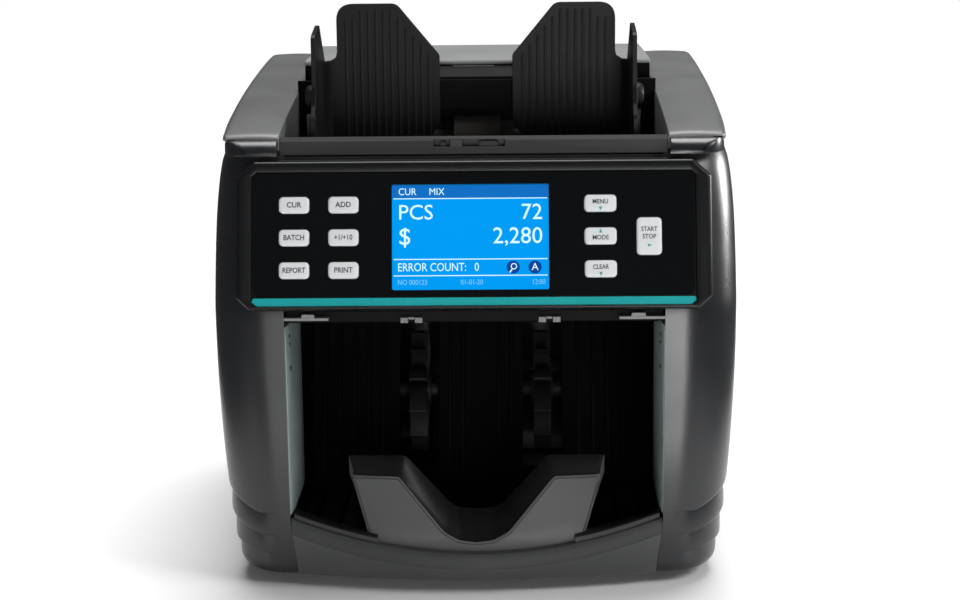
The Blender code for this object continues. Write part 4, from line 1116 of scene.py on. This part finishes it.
side_cover("left", -1)
side_cover("right", 1)
upper_cheek("left", -1)
upper_cheek("right", 1)
base_front()
lip_band()
front_bezel()
keys_with_legends()
lcd_words()
note_guide("left", -1)
note_guide("right", 1)
note_stop()
top_cover()
hopper_lip_details()
hopper_ribs()
pocket_trims()
pocket_ribs()
stacker()
rear_cover_details()
power_details()
data_sockets()
plate_and_scale()
feet()
paint("shell_dark", "rear_cover")
paint("lip_grey", "hopper_lip")
paint("glass", "panel_glass")
paint("lcd", "lcd_display")
paint("teal", "teal_strip")
paint("inner", "base_tray", "sensor_bar", "power_inlet")
# painted shade: hopper, gate and pocket surfaces take the near-black that is darkened as shade
paint("black_painted_shade", "hopper_floor", "hopper_back", "feed_gate", "pocket_ceiling", "pocket_header", "pocket_back")
paint("black_painted_shade", "pocket_wall_left", "pocket_wall_right")
paint("rubber", "belt_motor", "belt_stacker", "belt_feed", "belt_pickup")
paint("grip", "pickup_rollers", "feed_rollers", "retard_roller", "main_drum")
paint("steel", "side_frame_left", "side_frame_right", "pinch_rollers", "motor_pulley", "power_supply")
paint("dark_steel", "drive_motor")
paint("board", "keypad_board", "main_board")
paint("chip", "power_rocker")
paint("knob", "guide_pinion", "gap_knob")


# ---- stage, lights and camera -----------------------------------------------------------------
def stage_plane(name, half_x, y0, y1, z, mat):
    """Flat part of the studio, which isn't part of the object."""
    mesh = bpy.data.meshes.new(name)
    corners = ((-half_x, y0, z), (half_x, y0, z), (half_x, y1, z), (-half_x, y1, z))
    mesh.from_pydata([Vector(v) * MM for v in corners], [], [(0, 1, 2, 3)])
    mesh.materials.append(mat)
    obj = new_object(name, mesh)
    return obj


def build_stage():
    """Pale floor, and the table top near the object that its glossy faces mirror."""
    mat = bpy.data.materials.new("studio_floor_look")
    mat.use_nodes = True
    set_inputs(mat.node_tree.nodes["Principled BSDF"], Base_Color=(0.97, 0.97, 0.97, 1), Roughness=0.75,
               Specular_IOR_Level=0.15)
    floor = stage_plane("studio_floor", 3600, -2600, 3400, -0.05, mat)
    floor.visible_glossy = False
    floor.visible_shadow = False
    stage_plane("studio_table", 330, -330, 900, 0, mat)


def area(name, location, target, size, power, diffuse=True, glossy=True):
    """Softbox in metres; it can be left out of diffuse light or of reflections."""
    light = bpy.data.lights.new(name, "AREA")
    light.shape = "RECTANGLE"
    light.size, light.size_y = size
    light.energy = power
    obj = new_object(name, light)
    obj.location = location
    obj.rotation_euler = (Vector(target) - Vector(location)).to_track_quat("-Z", "Y").to_euler()
    obj.visible_diffuse = diffuse
    obj.visible_glossy = glossy


def build_world():
    """Dim white fill for the object, full white where the camera looks past it."""
    world = bpy.data.worlds.new("studio")
    bpy.context.scene.world = world
    world.use_nodes = True
    tree = world.node_tree
    fill, seen = tree.nodes["Background"], tree.nodes.new("ShaderNodeBackground")
    set_inputs(fill, Color=WHITE, Strength=0.07)
    set_inputs(seen, Color=WHITE, Strength=1.0)
    path = tree.nodes.new("ShaderNodeLightPath")
    choice = tree.nodes.new("ShaderNodeMixShader")
    for index, socket in enumerate((path.outputs["Is Camera Ray"], fill.outputs[0], seen.outputs[0])):
        tree.links.new(socket, choice.inputs[index])
    tree.links.new(choice.outputs[0], tree.nodes["World Output"].inputs["Surface"])


def build_lights():
    """Soft overhead light, softboxes that only reflect in the corners and the side, two diffuse fills."""
    sun = bpy.data.lights.new("overhead", "SUN")
    sun.energy = 3.4
    sun.angle = math.radians(40.0)
    new_object("overhead", sun).rotation_euler = (math.radians(-19.0), math.radians(3.0), 0.0)
    area("right_low", (0.225, -1.30, -0.03), (0.10, -0.10, 0.10), (0.20, 0.62), 6.5, diffuse=False)
    area("left_low", (-0.17, -1.30, -0.03), (-0.10, -0.10, 0.10), (0.13, 0.62), 1.8, diffuse=False)
    area("right_side", (1.30, 0.45, 0.40), (0.12, -0.09, 0.17), (0.34, 0.30), 16.0, diffuse=False)
    area("right_fill", (1.10, -0.50, 0.95), (0.10, -0.02, 0.18), (0.60, 0.60), 10.0)
    area("front_fill", (0.10, -1.45, 0.26), (0.0, -0.08, 0.10), (0.70, 0.30), 5.2, glossy=False)


def build_camera():
    """Camera at the photograph's angle: a little to the object's right, looking slightly down."""
    cam = bpy.data.cameras.new("camera")
    obj = new_object("camera", cam)
    yaw, pitch, roll = math.radians(1.124), math.radians(12.127), math.radians(-0.588)
    ahead = Vector((-math.sin(yaw) * math.cos(pitch), math.cos(yaw) * math.cos(pitch), -math.sin(pitch)))
    right = Vector((math.cos(yaw), math.sin(yaw), 0.0))
    up = right.cross(ahead)
    rolled_right = right * math.cos(roll) + up * math.sin(roll)
    rolled_up = up * math.cos(roll) - right * math.sin(roll)
    basis = Matrix((rolled_right, rolled_up, -ahead)).transposed()
    obj.matrix_world = Matrix.Translation((0.0200, -0.9875, 0.3309)) @ basis.to_4x4()
    cam.sensor_width = 36.0
    cam.lens = 71.25
    cam.clip_start, cam.clip_end = 0.05, 20.0
    bpy.context.scene.camera = obj


build_stage()
build_world()
build_lights()
build_camera()
bpy.context.scene.view_settings.view_transform = "Standard"
bpy.context.scene.view_settings.look = "None"
